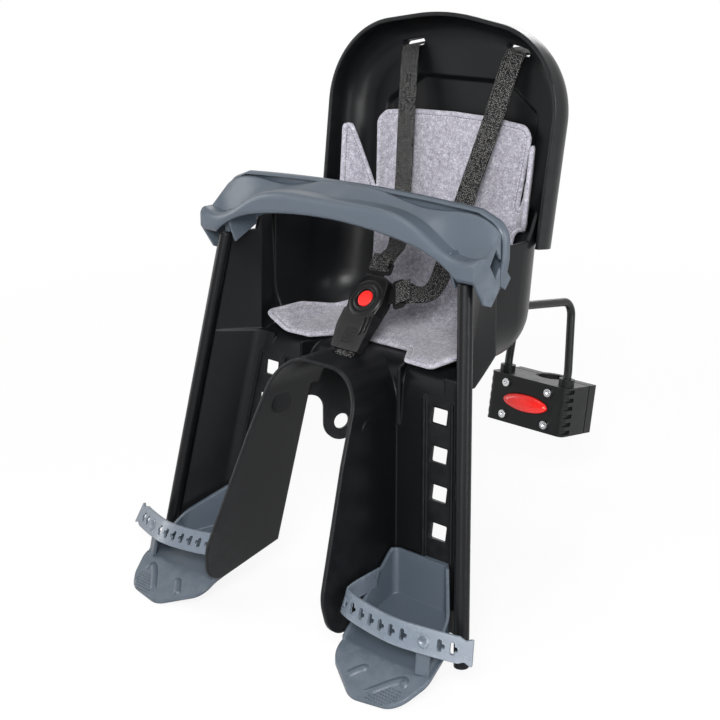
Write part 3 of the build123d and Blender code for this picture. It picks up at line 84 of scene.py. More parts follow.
# Colour as the eye reads it, 0 to 255
def paint(red, green, blue):
    def linear(level):
        level /= 255
        return level / 12.92 if level < 0.04045 else ((level + 0.055) / 1.055) ** 2.4
    return (linear(red), linear(green), linear(blue), 1)


# Node helpers: a value that is a socket is linked, any other is set
def put(tree, kind, values=None, **options):
    made = tree.nodes.new(kind)
    for key, value in options.items():
        setattr(made, key, value)
    for key, value in (values or {}).items():
        if isinstance(value, bpy.types.NodeSocket):
            tree.links.new(value, made.inputs[key])
        else:
            made.inputs[key].default_value = value
    return made


def calc(tree, operation, first, second=0.0):
    return put(tree, "ShaderNodeMath", {0: first, 1: second}, operation=operation).outputs[0]


def span(tree, value, low, high, toLow=0.0, toHigh=1.0):
    values = {"Value": value, "From Min": low, "From Max": high, "To Min": toLow, "To Max": toHigh}
    return put(tree, "ShaderNodeMapRange", values).outputs[0]


def blendColour(tree, factor, first, second):
    return put(tree, "ShaderNodeMix", {0: factor, 6: first, 7: second}, data_type="RGBA").outputs[2]


def shade(tree, colour, tone):
    return put(tree, "ShaderNodeHueSaturation", {"Color": colour, "Value": tone}).outputs[0]


def noise(tree, place, scale, detail=3.0, rough=0.55):
    values = {"Vector": place, "Scale": scale, "Detail": detail, "Roughness": rough}
    return put(tree, "ShaderNodeTexNoise", values).outputs["Fac"]


def shaderGroup(name, inputs, outputs):
    group = bpy.data.node_groups.new(name, "ShaderNodeTree")
    for label, kind, value in inputs:
        socket = group.interface.new_socket(name=label, in_out="INPUT", socket_type="NodeSocket" + kind)
        socket.default_value = value
    for label, kind in outputs:
        group.interface.new_socket(name=label, in_out="OUTPUT", socket_type="NodeSocket" + kind)
    return group, group.nodes.new("NodeGroupInput").outputs, group.nodes.new("NodeGroupOutput").inputs


def send(group, out, **values):
    for key, value in values.items():
        group.links.new(value, out[key])


def objectPlace(tree):
    return put(tree, "ShaderNodeTexCoord").outputs["Object"]


# Moulded surface: cloudy tone, patchy gloss and a fine spark-eroded grain
skinSettings = {"cloudScale": 8.0, "clouds": (0.3, 0.7), "patchScale": 42.0, "patches": (0.32, 0.68),
                "pitScale": 0.37, "pitDepth": 0.7}


def buildMouldedSkin():
    s = skinSettings
    group, given, out = shaderGroup(
        "mouldedSkin",
        [("Colour", "Color", (0.5, 0.5, 0.5, 1)), ("Tone Spread", "Float", 0.1), ("Grain Scale", "Float", 1500.0),
         ("Smooth", "Float", 0.3), ("Dull", "Float", 0.5)],
        [("Colour", "Color"), ("Roughness", "Float"), ("Height", "Float")],
    )
    place = objectPlace(group)
    cloud = span(group, noise(group, place, s["cloudScale"], 5.0), *s["clouds"], -1.0, 1.0)
    tone = calc(group, "ADD", calc(group, "MULTIPLY", cloud, given["Tone Spread"]), 1.0)
    shaded = shade(group, given["Colour"], tone)
    patch = span(group, noise(group, place, s["patchScale"], 6.0, 0.65), *s["patches"])
    gloss = span(group, patch, 0.0, 1.0, given["Smooth"], given["Dull"])
    grain = noise(group, place, given["Grain Scale"], 2.0)
    pits = noise(group, place, calc(group, "MULTIPLY", given["Grain Scale"], s["pitScale"]), 2.0)
    height = calc(group, "ADD", grain, calc(group, "MULTIPLY", pits, s["pitDepth"]))
    send(group, out, Colour=shaded, Roughness=gloss, Height=height)
    return group


# Painted edge highlight: paler where the surface turns sharply, broken up by noise
highlightSettings = {"turns": (0.52, 0.62), "breakScale": 70.0, "breaks": (0.35, 0.6)}


def buildEdgeHighlight():
    s = highlightSettings
    group, given, out = shaderGroup(
        "edgeHighlight",
        [("Colour", "Color", (0.5, 0.5, 0.5, 1)), ("Highlight Colour", "Color", (0.6, 0.6, 0.6, 1)),
         ("Amount", "Float", 0.4)],
        [("Colour", "Color")],
    )
    sharp = span(group, put(group, "ShaderNodeNewGeometry").outputs["Pointiness"], *s["turns"])
    broken = span(group, noise(group, objectPlace(group), s["breakScale"], 4.0, 0.7), *s["breaks"])
    mask = calc(group, "MULTIPLY", calc(group, "MULTIPLY", sharp, broken), given["Amount"])
    send(group, out, Colour=blendColour(group, mask, given["Colour"], given["Highlight Colour"]))
    return group


# Heathered felt: pale and dark fibres over a middle grey, with a soft nap
fibreSettings = {"warpScale": 120.0, "warp": 0.004, "tuftScale": 0.31, "fibreShare": 0.68, "tuftShare": 0.32,
                 "darkSpan": (0.36, 0.5), "lightSpan": (0.51, 0.63), "rubScale": 11.0, "rubs": (0.3, 0.7),
                 "rubTones": (0.94, 1.05)}


def buildFeltFibre():
    s = fibreSettings
    group, given, out = shaderGroup(
        "feltFibre",
        [("Dark", "Color", (0.2, 0.2, 0.2, 1)), ("Middle", "Color", (0.4, 0.4, 0.4, 1)),
         ("Light", "Color", (0.6, 0.6, 0.6, 1)), ("Fibre Scale", "Float", 700.0)],
        [("Colour", "Color"), ("Height", "Float")],
    )
    place = objectPlace(group)
    warpNoise = put(group, "ShaderNodeTexNoise", {"Vector": place, "Scale": s["warpScale"], "Detail": 2.0})
    warp = warpNoise.outputs["Color"]
    bent = put(group, "ShaderNodeMix", {0: s["warp"], 4: place, 5: warp}, data_type="VECTOR").outputs[1]
    fibre = noise(group, bent, given["Fibre Scale"], 4.0, 0.75)
    tuft = noise(group, bent, calc(group, "MULTIPLY", given["Fibre Scale"], s["tuftScale"]), 3.0, 0.6)
    mixed = calc(group, "ADD", calc(group, "MULTIPLY", fibre, s["fibreShare"]),
                 calc(group, "MULTIPLY", tuft, s["tuftShare"]))
    lower = blendColour(group, span(group, mixed, *s["darkSpan"]), given["Dark"], given["Middle"])
    upper = blendColour(group, span(group, mixed, *s["lightSpan"]), lower, given["Light"])
    rubbed = span(group, noise(group, place, s["rubScale"], 3.0), *s["rubs"], *s["rubTones"])
    send(group, out, Colour=shade(group, upper, rubbed), Height=mixed)
    return group


# Herringbone webbing, laid out on the strap's own length and width
weaveSettings = {"chevron": 2.6, "fuzzScale": 760.0, "fuzz": (0.44, 0.56), "bulge": (0.55, 0.8),
                 "ribHeight": 0.6, "fuzzHeight": 0.4}


def buildWebWeave():
    s = weaveSettings
    group, given, out = shaderGroup(
        "webWeave",
        [("Yarn", "Color", (0.02, 0.02, 0.02, 1)), ("Fleck", "Color", (0.3, 0.3, 0.3, 1)),
         ("Rib Width", "Float", 0.0042), ("Pick", "Float", 0.0017)],
        [("Colour", "Color"), ("Height", "Float")],
    )
    flat = put(group, "ShaderNodeSeparateXYZ", {0: put(group, "ShaderNodeUVMap", uv_map="weave").outputs[0]})
    across = calc(group, "FRACT", calc(group, "DIVIDE", flat.outputs[0], given["Rib Width"]))
    chevron = calc(group, "ABSOLUTE", calc(group, "SUBTRACT", across, 0.5))
    along = calc(group, "DIVIDE", flat.outputs[1], given["Pick"])
    pick = calc(group, "FRACT", calc(group, "ADD", along, calc(group, "MULTIPLY", chevron, s["chevron"])))
    bulge = calc(group, "SINE", calc(group, "MULTIPLY", pick, math.pi))
    ribs = calc(group, "SINE", calc(group, "MULTIPLY", across, math.pi))
    fuzz = noise(group, objectPlace(group), s["fuzzScale"], 1.0, 0.5)
    fleck = calc(group, "MULTIPLY", span(group, bulge, *s["bulge"]), span(group, fuzz, *s["fuzz"]))
    ribbed = calc(group, "ADD", bulge, calc(group, "MULTIPLY", ribs, s["ribHeight"]))
    height = calc(group, "ADD", ribbed, calc(group, "MULTIPLY", fuzz, s["fuzzHeight"]))
    send(group, out, Colour=blendColour(group, fleck, given["Yarn"], given["Fleck"]), Height=height)
    return group


# Plated or bare metal: short scratches and a clouded polish
lineSettings = {"stretch": (160.0, 2400.0, 2400.0), "cloudScale": 130.0, "clouds": (0.3, 0.7), "tones": (0.86, 1.06)}


def buildBrushedLines():
    s = lineSettings
    group, given, out = shaderGroup(
        "brushedLines",
        [("Colour", "Color", (0.7, 0.7, 0.7, 1)), ("Smooth", "Float", 0.2), ("Dull", "Float", 0.4)],
        [("Colour", "Color"), ("Roughness", "Float"), ("Height", "Float")],
    )
    place = objectPlace(group)
    stretched = put(group, "ShaderNodeMapping", {"Vector": place, "Scale": s["stretch"]}).outputs[0]
    lines = noise(group, stretched, 1.0, 3.0, 0.6)
    cloud = noise(group, place, s["cloudScale"], 4.0)
    tone = span(group, cloud, *s["clouds"], *s["tones"])
    gloss = span(group, cloud, *s["clouds"], given["Smooth"], given["Dull"])
    send(group, out, Colour=shade(group, given["Colour"], tone), Roughness=gloss, Height=lines)
    return group


mouldedSkin = buildMouldedSkin()
edgeHighlight = buildEdgeHighlight()
feltFibre = buildFeltFibre()
webWeave = buildWebWeave()
brushedLines = buildBrushedLines()
print("shader groups built")


def newMaterial(name):
    material = bpy.data.materials.new(name)
    material.use_nodes = True
    return material, material.node_tree, material.node_tree.nodes["Principled BSDF"]


def fillGroup(tree, group, values):
    return put(tree, "ShaderNodeGroup", values, node_tree=group).outputs


def setInputs(shader, values):
    for key, value in values.items():
        shader.inputs[key].default_value = value


def bumpFrom(tree, shader, height, strength, distance, radius=0.0):
    bump = put(tree, "ShaderNodeBump", {"Height": height, "Strength": strength, "Distance": distance})
    if radius:  # moulded corners read as rounded
        corner = put(tree, "ShaderNodeBevel", {"Radius": radius}, samples=6)
        tree.links.new(corner.outputs[0], bump.inputs["Normal"])
    tree.links.new(bump.outputs[0], shader.inputs["Normal"])


# Plastics share one recipe and differ in their values
coatRoughness = 0.12
grainDepth = 0.0004


def plastic(name, look):
    material, tree, shader = newMaterial(name)
    skin = fillGroup(tree, mouldedSkin, {"Colour": look["colour"], "Tone Spread": look["spread"],
                                         "Grain Scale": look["grain"], "Smooth": look["smooth"],
                                         "Dull": look["dull"]})
    # Painted highlight: the edge group lightens the sharp edges of each plastic
    highlight = fillGroup(tree, edgeHighlight, {"Colour": skin["Colour"], "Highlight Colour": look["highlightColour"], "Amount": look["highlight"]})
    tree.links.new(highlight["Colour"], shader.inputs["Base Color"])
    tree.links.new(skin["Roughness"], shader.inputs["Roughness"])
    setInputs(shader, {"Specular IOR Level": look["shine"], "Coat Weight": look.get("coat", 0.0),
                       "Coat Roughness": coatRoughness})
    bumpFrom(tree, shader, skin["Height"], look["bump"], grainDepth, look["round"])
    return material


# Each look's pale edge colour and its share give that plastic its painted edge highlight
plasticLooks = {
    "shellPlastic": {"colour": paint(13, 14, 16), "highlightColour": paint(44, 46, 48), "spread": 0.1, "highlight": 0.25,
                     "round": 0.003, "grain": 1300.0, "smooth": 0.3, "dull": 0.35, "shine": 0.18, "bump": 0.04},
    "greyPlastic": {"colour": paint(70, 79, 89), "highlightColour": paint(112, 121, 130), "spread": 0.04, "highlight": 0.3,
                    "round": 0.0022, "grain": 1300.0, "smooth": 0.32, "dull": 0.38, "shine": 0.4, "bump": 0.05},
    "strapPlastic": {"colour": paint(96, 105, 116), "highlightColour": paint(146, 154, 162), "spread": 0.04, "highlight": 0.3,
                     "round": 0.0009, "grain": 1500.0, "smooth": 0.24, "dull": 0.32, "shine": 0.5, "bump": 0.04},
    "blackPlastic": {"colour": paint(13, 13, 14), "highlightColour": paint(60, 60, 62), "spread": 0.1, "highlight": 0.35,
                     "round": 0.0007, "grain": 2100.0, "smooth": 0.28, "dull": 0.42, "shine": 0.22, "bump": 0.1},
    "blockPlastic": {"colour": paint(14, 15, 16), "highlightColour": paint(58, 59, 60), "spread": 0.12, "highlight": 0.35,
                     "round": 0.0012, "grain": 1700.0, "smooth": 0.34, "dull": 0.46, "shine": 0.22, "bump": 0.1},
    "redButton": {"colour": paint(226, 38, 33), "highlightColour": paint(236, 92, 84), "spread": 0.05, "highlight": 0.3,
                  "round": 0.0008, "grain": 1500.0, "smooth": 0.2, "dull": 0.28, "shine": 0.35, "bump": 0.02,
                  "coat": 0.2},
    "coatedSteel": {"colour": paint(16, 17, 18), "highlightColour": paint(80, 80, 80), "spread": 0.08, "highlight": 0.25,
                    "round": 0.0, "grain": 900.0, "smooth": 0.26, "dull": 0.36, "shine": 0.3, "bump": 0.08},
    "clampRubber": {"colour": paint(24, 24, 24), "highlightColour": paint(48, 48, 48), "spread": 0.14, "highlight": 0.3,
                    "round": 0.0005, "grain": 1100.0, "smooth": 0.6, "dull": 0.8, "shine": 0.2, "bump": 0.2},
}
materials = {name: plastic(name, look) for name, look in plasticLooks.items()}


# Other materials come from one group each: its colour, its gloss where it has one, and its bump
def fromGroup(name, group, look):
    material, tree, shader = newMaterial(name)
    given = fillGroup(tree, group, look["values"])
    tree.links.new(given["Colour"], shader.inputs["Base Color"])
    if "Roughness" in given:
        tree.links.new(given["Roughness"], shader.inputs["Roughness"])
    setInputs(shader, look["finish"])
    bumpFrom(tree, shader, given["Height"], *look["bump"])
    materials[name] = material
    return tree, shader, given["Colour"]


metalLooks = {
    "zincSteel": {"Colour": paint(206, 207, 210), "Smooth": 0.2, "Dull": 0.36},
    "springSteel": {"Colour": paint(176, 177, 182), "Smooth": 0.24, "Dull": 0.4},
}
for name, values in metalLooks.items():
    fromGroup(name, brushedLines, {"values": values, "finish": {"Metallic": 1.0}, "bump": (0.06, 0.0003)})

webLook = {
    "values": {"Yarn": paint(4, 4, 5), "Fleck": paint(104, 103, 102), "Rib Width": 0.0062, "Pick": 0.003},
    "finish": {"Roughness": 0.75, "Specular IOR Level": 0.12, "Sheen Weight": 0.03}, "bump": (0.5, 0.0005),
}
fromGroup("webbing", webWeave, webLook)
threadLook = {
    "values": {"Dark": paint(150, 148, 156), "Middle": paint(206, 204, 210), "Light": paint(206, 204, 210),
               "Fibre Scale": 2600.0},
    "finish": {"Roughness": 0.6}, "bump": (0.2, 0.0003),
}
fromGroup("thread", feltFibre, threadLook)
feltLook = {
    "values": {"Dark": paint(104, 102, 112), "Middle": paint(148, 146, 156), "Light": paint(190, 189, 197),
               "Fibre Scale": 620.0},
    "finish": {"Roughness": 0.95, "Specular IOR Level": 0.15, "Sheen Weight": 0.25, "Sheen Roughness": 0.6},
    "bump": (0.35, 0.0012), "bindingLift": 1.16, "bindingEdge": (0.004784, 0.0052),
    "seamIn": (0.0045, 0.0055), "seamOut": (0.0057, 0.0068), "grooveShadeTone": 0.55, "grooveShadeShare": 0.8,
}
tree, shader, fibre = fromGroup("felt", feltFibre, feltLook)
inset = put(tree, "ShaderNodeAttribute", attribute_name="inset").outputs["Fac"]  # distance in from the sewn edge
binding = span(tree, inset, *feltLook["bindingEdge"], 1.0, 0.0)
bound = blendColour(tree, binding, fibre, shade(tree, fibre, feltLook["bindingLift"]))
# Painted shade: the felt is darkened in the sewn groove just inside the binding
seam = calc(tree, "MULTIPLY", span(tree, inset, *feltLook["seamIn"]),
            span(tree, inset, *feltLook["seamOut"], 1.0, 0.0))
grooveShade = calc(tree, "MULTIPLY", seam, feltLook["grooveShadeShare"])
sewn = blendColour(tree, grooveShade, bound, shade(tree, bound, feltLook["grooveShadeTone"]))
tree.links.new(sewn, shader.inputs["Base Color"])
print("materials built,", len(materials))

# Soft shading for the CAD solids: welded, cleaned, with small moulded radii
softSettings = {"weld": 0.00001, "flat": 0.6, "segments": 3, "corner": 32.0, "weight": 80}
softShade = bpy.data.node_groups.new("softShade", "GeometryNodeTree")
for direction in ("INPUT", "OUTPUT"):
    softShade.interface.new_socket(name="Geometry", in_out=direction, socket_type="NodeSocketGeometry")
flow = softShade.nodes.new("NodeGroupInput").outputs[0]
for domain in ("FACE", "EDGE"):
    smooth = softShade.nodes.new("GeometryNodeSetShadeSmooth")
    smooth.domain = domain
    softShade.links.new(flow, smooth.inputs[0])
    flow = smooth.outputs[0]
softShade.links.new(flow, softShade.nodes.new("NodeGroupOutput").inputs[0])


def modify(piece, name, kind, **values):
    made = piece.modifiers.new(name, kind)
    for key, value in values.items():
        setattr(made, key, value)


def soften(piece, radius):
    s = softSettings
    modify(piece, "weld", "WELD", merge_threshold=s["weld"])
    modify(piece, "softShade", "NODES", node_group=softShade)
    modify(piece, "flat", "DECIMATE", decimate_type="DISSOLVE", angle_limit=math.radians(s["flat"]))
    modify(piece, "radius", "BEVEL", width=radius, segments=s["segments"], limit_method="ANGLE",
           angle_limit=math.radians(s["corner"]), miter_outer="MITER_ARC")
    modify(piece, "normals", "WEIGHTED_NORMAL", mode="FACE_AREA_WITH_ANGLE", weight=s["weight"])


nodeLooks = [  # material, moulded edge radius in metres, nodes
    ("shellPlastic", 0.0, "seat_shell backrest_shell"),
    ("greyPlastic", 0.0, "front_bar footrest_left footrest_right"),
    ("blackPlastic", 0.0005, "buckle_housing buckle_back"),
    ("blackPlastic", 0.0006, "buckle_tongue_left buckle_tongue_right"),
    ("blackPlastic", 0.0006, "crotch_anchor strap_retainer_left strap_retainer_right"),
    ("blackPlastic", 0.0012, "carrier_bracket"),
    ("blockPlastic", 0.0014, "block_body clamp_half"),
    ("redButton", 0.0, "buckle_button"),
    ("redButton", 0.0004, "release_button"),
    ("coatedSteel", 0.0, "carrier_rod"),
    ("zincSteel", 0.0003, "backrest_bolts backrest_nuts bracket_bolts bracket_nuts"),
    ("zincSteel", 0.0003, "block_screws block_nuts latch_plate"),
    ("springSteel", 0.0, "buckle_spring release_spring"),
    ("clampRubber", 0.0004, "tube_liner"),
]
for look, radius, names in nodeLooks:
    for name in names.split():
        nodes[name].data.materials.clear()
        nodes[name].data.materials.append(materials[look])
        if radius:
            soften(nodes[name], radius)
print("nodes dressed in", len(nodeLooks), "groups")


def newPiece(name, points, faces, material, smooth=True):
    mesh = bpy.data.meshes.new(name)
    mesh.from_pydata([tuple(point) for point in points], [], [tuple(face) for face in faces])
    mesh.materials.append(materials[material])
    if smooth:
        mesh.shade_smooth()
    mesh.update()
    piece = bpy.data.objects.new(name, mesh)
    bpy.context.scene.collection.objects.link(piece)
    return piece


# Corner cutting, which turns a few stations into a smooth lay
cutShare = 0.25


def cutCorners(route, rounds):
    route = np.array(route, float)
    for _ in range(rounds):
        fore = route[:-1] * (1 - cutShare) + route[1:] * cutShare
        aft = route[:-1] * cutShare + route[1:] * (1 - cutShare)
        route = np.concatenate([route[:1], np.stack([fore, aft], 1).reshape(-1, route.shape[1]), route[-1:]])
    return route


# Faces between rings that have the same number of points
def ringFaces(bands, sides, base=0):
    faces = []
    for near in range(base, base + bands * sides, sides):
        for turn in range(sides):
            after = (turn + 1) % sides
            faces.append((near + turn, near + after, near + sides + after, near + sides + turn))
    return faces


def closedTube(bands, sides, base=0):
    ends = [tuple(base + turn for turn in reversed(range(sides))),
            tuple(base + bands * sides + turn for turn in range(sides))]
    return ringFaces(bands, sides, base) + ends


# Cosine and sine of each step round a ring
def circle(steps):
    angles = [2 * math.pi * turn / steps for turn in range(steps)]
    return [(math.cos(angle), math.sin(angle)) for angle in angles]


# Outline from corner points, each with its own radius
def roundedOutline(corners, step):
    outline = []
    for index, (x, y, radius) in enumerate(corners):
        here = Vector((x, y))
        before = (Vector(corners[index - 1][:2]) - here)
        after = (Vector(corners[(index + 1) % len(corners)][:2]) - here)
        if radius == 0:
            outline.append(here)
            continue
        half = before.angle(after) / 2
        reach = min(radius / math.tan(half), before.length * cornerReach, after.length * cornerReach)
        start, end = here + before.normalized() * reach, here + after.normalized() * reach
        count = max(3, int(reach * 2 / step))
        for turn in range(count + 1):
            share = turn / count
            outline.append(start * (1 - share) ** 2 + here * 2 * share * (1 - share) + end * share ** 2)
    dense = []
    for index, point in enumerate(outline):
        after = outline[(index + 1) % len(outline)]
        parts = max(1, int((after - point).length / step + 0.5))
        dense += [point.lerp(after, part / parts) for part in range(parts)]
    return np.array([tuple(point) for point in dense])


def inwardNormals(outline):
    tangent = np.roll(outline, -1, 0) - np.roll(outline, 1, 0)
    tangent /= np.linalg.norm(tangent, axis=1)[:, None]
    return np.stack([-tangent[:, 1], tangent[:, 0]], 1)


def distanceToOutline(points, outline):
    start, run = outline, np.roll(outline, -1, 0) - outline
    nearest = np.full(len(points), 1e9)
    for first, step in zip(start, run):
        share = np.clip(((points - first) @ step) / (step @ step), 0, 1)
        gap = np.linalg.norm(points - first - share[:, None] * step, axis=1)
        nearest = np.minimum(nearest, gap)
    return nearest


# Felt pad: flat pattern in millimetres, across and along, folded over the pan and up the back
padSettings = {
    "thickness": 7.0, "grid": 6.0, "edgeStep": 3.2, "rings": (1.0, 2.4, 4.0, 5.4, 6.8, 9.0),
    "ringRoom": 0.93, "gridRoom": 0.55,
    "front": -11.0, "pan": 12.5, "back": (120.05, 153.3), "top": 250.0, "bend": 52.0,
    "half": 96.0, "foldRadius": 27.0, "flapAngle": 28.0, "wingAngle": 58.0, "flapEnd": 120.0, "wingStart": 225.0,
    "binding": (2.8, 2.3, 2.6, 5.4),  # height at the edge, rise, half width and end of the rolled binding
    "foam": (3.3, 5.6, 7.0, 0.6),  # height in the groove, start, run and curve of the rise
    "under": (1.8, 2.4),  # lift and width of the rounded lower edge
    "held": (1.5, 6.5, 6.0),  # hold at the seam, start and run of its fading
    "frames": 16, "cap": 0.0022,
    "corners": [  # right half of the pattern, from the notch round to the top, with each corner's radius
        (0, 36, 0), (45, 36, 8), (67, 4, 9), (137, 1, 11), (136, 56, 24), (114, 110, 20), (98, 136, 22),
        (94, 180, 24), (97, 233, 12), (144, 238, 16), (148, 324, 6), (136, 325, 6), (101.6, 259, 1.6),
        (99.6, 259, 1.6),
        (107, 332, 12), (96, 343, 14), (52, 347.5, 40), (0, 349, 0),
    ],
    "stitchInset": 6.3, "stitchPitch": 3.9, "stitchLength": 2.5, "stitchRadius": 0.36, "stitchSides": 6,
    "stitchRoom": 0.9, "stitchStretch": 1.3,
    "stitchShape": ((0, 0.45), (0.25, 1), (0.75, 1), (1, 0.45)),  # share of the length, share of the radius
}


def padOutline():
    right = padSettings["corners"]
    left = [(-x, y, radius) for x, y, radius in reversed(right) if x > 0]
    return roundedOutline(right + left, padSettings["edgeStep"])


# Point of the pad: across and along the pattern, and up from its underside
def padPlace(across, along, up):
    s = padSettings
    rise = Vector((s["back"][1] - s["back"][0], s["top"] - s["pan"])).normalized()
    turn = math.atan2(rise.y, rise.x)
    reach = s["bend"] * math.tan(turn / 2)
    flat = s["back"][0] - s["front"] - reach
    if along < flat:
        spot, tangent = Vector((s["front"] + along, s["pan"])), Vector((1, 0))
    elif along < flat + s["bend"] * turn:
        angle = (along - flat) / s["bend"]
        centre = Vector((s["front"] + flat, s["pan"] + s["bend"]))
        spot = centre + Vector((math.sin(angle), -math.cos(angle))) * s["bend"]
        tangent = Vector((math.cos(angle), math.sin(angle)))
    else:
        tangent = rise
        spot = Vector((s["back"][0], s["pan"])) + rise * (reach + along - flat - s["bend"] * turn)
    normal = Vector((-tangent.y, tangent.x))
    blend = min(1, max(0, (along - s["flapEnd"]) / (s["wingStart"] - s["flapEnd"])))
    fold = math.radians(s["flapAngle"] + (s["wingAngle"] - s["flapAngle"]) * blend)
    over = max(0, abs(across) - s["half"])
    angle = min(fold, over / s["foldRadius"])
    run = s["foldRadius"] * math.sin(angle) + max(0, over - s["foldRadius"] * fold) * math.cos(fold)
    lift = s["foldRadius"] * (1 - math.cos(angle)) + max(0, over - s["foldRadius"] * fold) * math.sin(fold)
    x = math.copysign(min(abs(across), s["half"]) + run - up * math.sin(angle), across)
    height = lift + up * math.cos(angle)
    return seatPoint(x, spot.x + normal.x * height, spot.y + normal.y * height)


# Thickness of the pad at a distance in from its edge: a rolled binding, a sewn groove, then the foam
def padTop(inset):
    edge, rise, half, end = padSettings["binding"]
    low, start, run, curve = padSettings["foam"]
    binding = edge + rise * np.sqrt(np.clip(1 - ((inset - half) / half) ** 2, 0, 1))
    foam = low + (padSettings["thickness"] - low) * np.clip((inset - start) / run, 0, 1) ** curve
    return np.where(inset < end, binding, foam)


def padUnder(inset):
    lift, width = padSettings["under"]
    return lift * np.clip(1 - inset / width, 0, 1) ** 2


def buildPad():
    s = padSettings
    outline = padOutline()
    inward = inwardNormals(outline)
    rings = [outline + inward * depth for depth in s["rings"]]
    kept = [ring[distanceToOutline(ring, outline) > depth * s["ringRoom"]] for ring, depth in zip(rings, s["rings"])]
    low, high = outline.min(0), outline.max(0)
    across, along = np.meshgrid(np.arange(low[0], high[0], s["grid"]), np.arange(low[1], high[1], s["grid"]))
    grid = np.stack([across.ravel(), along.ravel()], 1)
    grid = grid[distanceToOutline(grid, outline) > s["rings"][-1] + s["grid"] * s["gridRoom"]]
    flat = [Vector(point) for point in np.concatenate([outline, *kept, grid])]
    edges = [(index, (index + 1) % len(outline)) for index in range(len(outline))]
    flat, _, faces, *_ = delaunay_2d_cdt(flat, edges, [], 1, meshGap)
    flat = np.array([tuple(point) for point in flat])
    inset = distanceToOutline(flat, outline)
    inset[:len(outline)] = 0
    count = len(flat)
    points = [padPlace(*spot, height) for side in (padTop, padUnder) for spot, height in zip(flat, side(inset))]
    skin = [tuple(face) for face in faces] + [tuple(count + index for index in reversed(face)) for face in faces]
    rim = len(outline)
    skin += [(index, count + index, count + (index + 1) % rim, (index + 1) % rim) for index in range(rim)]
    pad = newPiece("seatPad", points, skin, "felt")
    marks = pad.data.attributes.new("inset", "FLOAT", "POINT")
    marks.data.foreach_set("value", np.tile(inset * millimetre, 2).astype(np.float32))
    held = pad.vertex_groups.new(name="held")
    full, start, run = s["held"]
    for index in range(count):
        held.add([index], float(np.clip(full - (inset[index] - start) / run, 0, 1)), "REPLACE")
        held.add([count + index], 1.0, "REPLACE")
    return pad, outline


# Foam pushes the felt up between its sewn edges
clothSettings = {
    "quality": 5, "mass": 0.2, "tension_stiffness": 20, "compression_stiffness": 20, "bending_stiffness": 2,
    "use_pressure": True, "uniform_pressure_force": 4.0, "vertex_group_mass": "held",
}


def inflate(piece, frames, cap):
    cloth = piece.modifiers.new("filling", "CLOTH")
    for key, value in clothSettings.items():
        setattr(cloth.settings, key, value)
    cloth.settings.effector_weights.gravity = 0
    cloth.point_cache.frame_end = frames
    scene = bpy.context.scene
    for step in range(1, frames + 1):
        scene.frame_set(step)
    swollen = piece.evaluated_get(bpy.context.evaluated_depsgraph_get()).to_mesh()
    for vertex, moved in zip(piece.data.vertices, swollen.vertices):
        shift = moved.co - vertex.co
        if shift.length > cap:
            shift *= cap / shift.length
        vertex.co += shift
    piece.modifiers.remove(cloth)
    scene.frame_set(1)


seatPad, padEdge = buildPad()
inflate(seatPad, padSettings["frames"], padSettings["cap"])
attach(seatPad, "seat")
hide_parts("seat_liner")
print("pad sewn,", len(seatPad.data.polygons), "faces")


# Thread along the seam inside the binding
def buildStitches():
    s = padSettings
    seam = padEdge + inwardNormals(padEdge) * s["stitchInset"]
    seam = seam[distanceToOutline(seam, padEdge) > s["stitchInset"] * s["stitchRoom"]]
    lengths = np.concatenate([[0], np.cumsum(np.linalg.norm(np.diff(seam, axis=0), axis=1))])
    height = float(padTop(np.array([s["stitchInset"]]))[0])
    sides, shape = s["stitchSides"], s["stitchShape"]
    points, faces = [], []
    for start in np.arange(0, lengths[-1] - s["stitchLength"], s["stitchPitch"]):
        ends = [np.array([np.interp(spot, lengths, seam[:, 0]), np.interp(spot, lengths, seam[:, 1])])
                for spot in (start, start + s["stitchLength"])]
        if np.linalg.norm(ends[1] - ends[0]) > s["stitchLength"] * s["stitchStretch"]:
            continue
        first, last = (padPlace(*end, height) for end in ends)
        above = (padPlace(*ends[0], height + 1) - first).normalized()
        beside = (last - first).normalized().cross(above)
        faces += closedTube(len(shape) - 1, sides, len(points))
        for share, girth in shape:
            for cosine, sine in circle(sides):
                spoke = beside * cosine + above * sine
                points.append(first.lerp(last, share) + spoke * s["stitchRadius"] * girth * millimetre)
    return newPiece("padStitches", points, faces, "thread")


padStitches = buildStitches()
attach(padStitches, "seat")
print("stitches laid,", len(padStitches.data.polygons), "faces")

# Webbing: a flat woven band that follows stations, each a point and the direction across the band
webSettings = {"width": 25.0, "thickness": 1.9, "rounds": 4, "edge": 0.8, "columns": 7, "leastStep": 0.05}


def webBand(name, stations):
    s = webSettings
    route = cutCorners([list(point) + list(Vector(across).normalized()) for point, across in stations], s["rounds"])
    middle, across = route[:, :3], route[:, 3:]
    gaps = np.linalg.norm(np.diff(middle, axis=0), axis=1)
    keep = np.concatenate([[True], gaps > s["leastStep"]])
    middle, across = middle[keep], across[keep]
    length = np.concatenate([[0], np.cumsum(np.linalg.norm(np.diff(middle, axis=0), axis=1))])
    tangent = np.gradient(middle, axis=0)
    tangent /= np.linalg.norm(tangent, axis=1)[:, None]
    across -= tangent * np.sum(across * tangent, 1)[:, None]
    across /= np.linalg.norm(across, axis=1)[:, None]
    face = np.cross(across, tangent)
    half, thick, edge = s["width"] / 2, s["thickness"] / 2, s["edge"]
    steps = np.linspace(-half + edge, half - edge, s["columns"])
    section = [(-half, 0.0)] + [(x, thick) for x in steps] + [(half, 0.0)] + [(x, -thick) for x in steps[::-1]]
    points = []
    for spot, side, up in zip(middle, across, face):
        points += [seatPoint(*(spot + side * x + up * h)) for x, h in section]
    band = newPiece(name, points, closedTube(len(middle) - 1, len(section)), "webbing")
    weave = band.data.uv_layers.new(name="weave")
    for loop in band.data.loops:
        row, turn = divmod(loop.vertex_index, len(section))
        weave.data[loop.index].uv = ((section[turn][0] + half) * millimetre, length[row] * millimetre)
    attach(band, "seat")
    return band


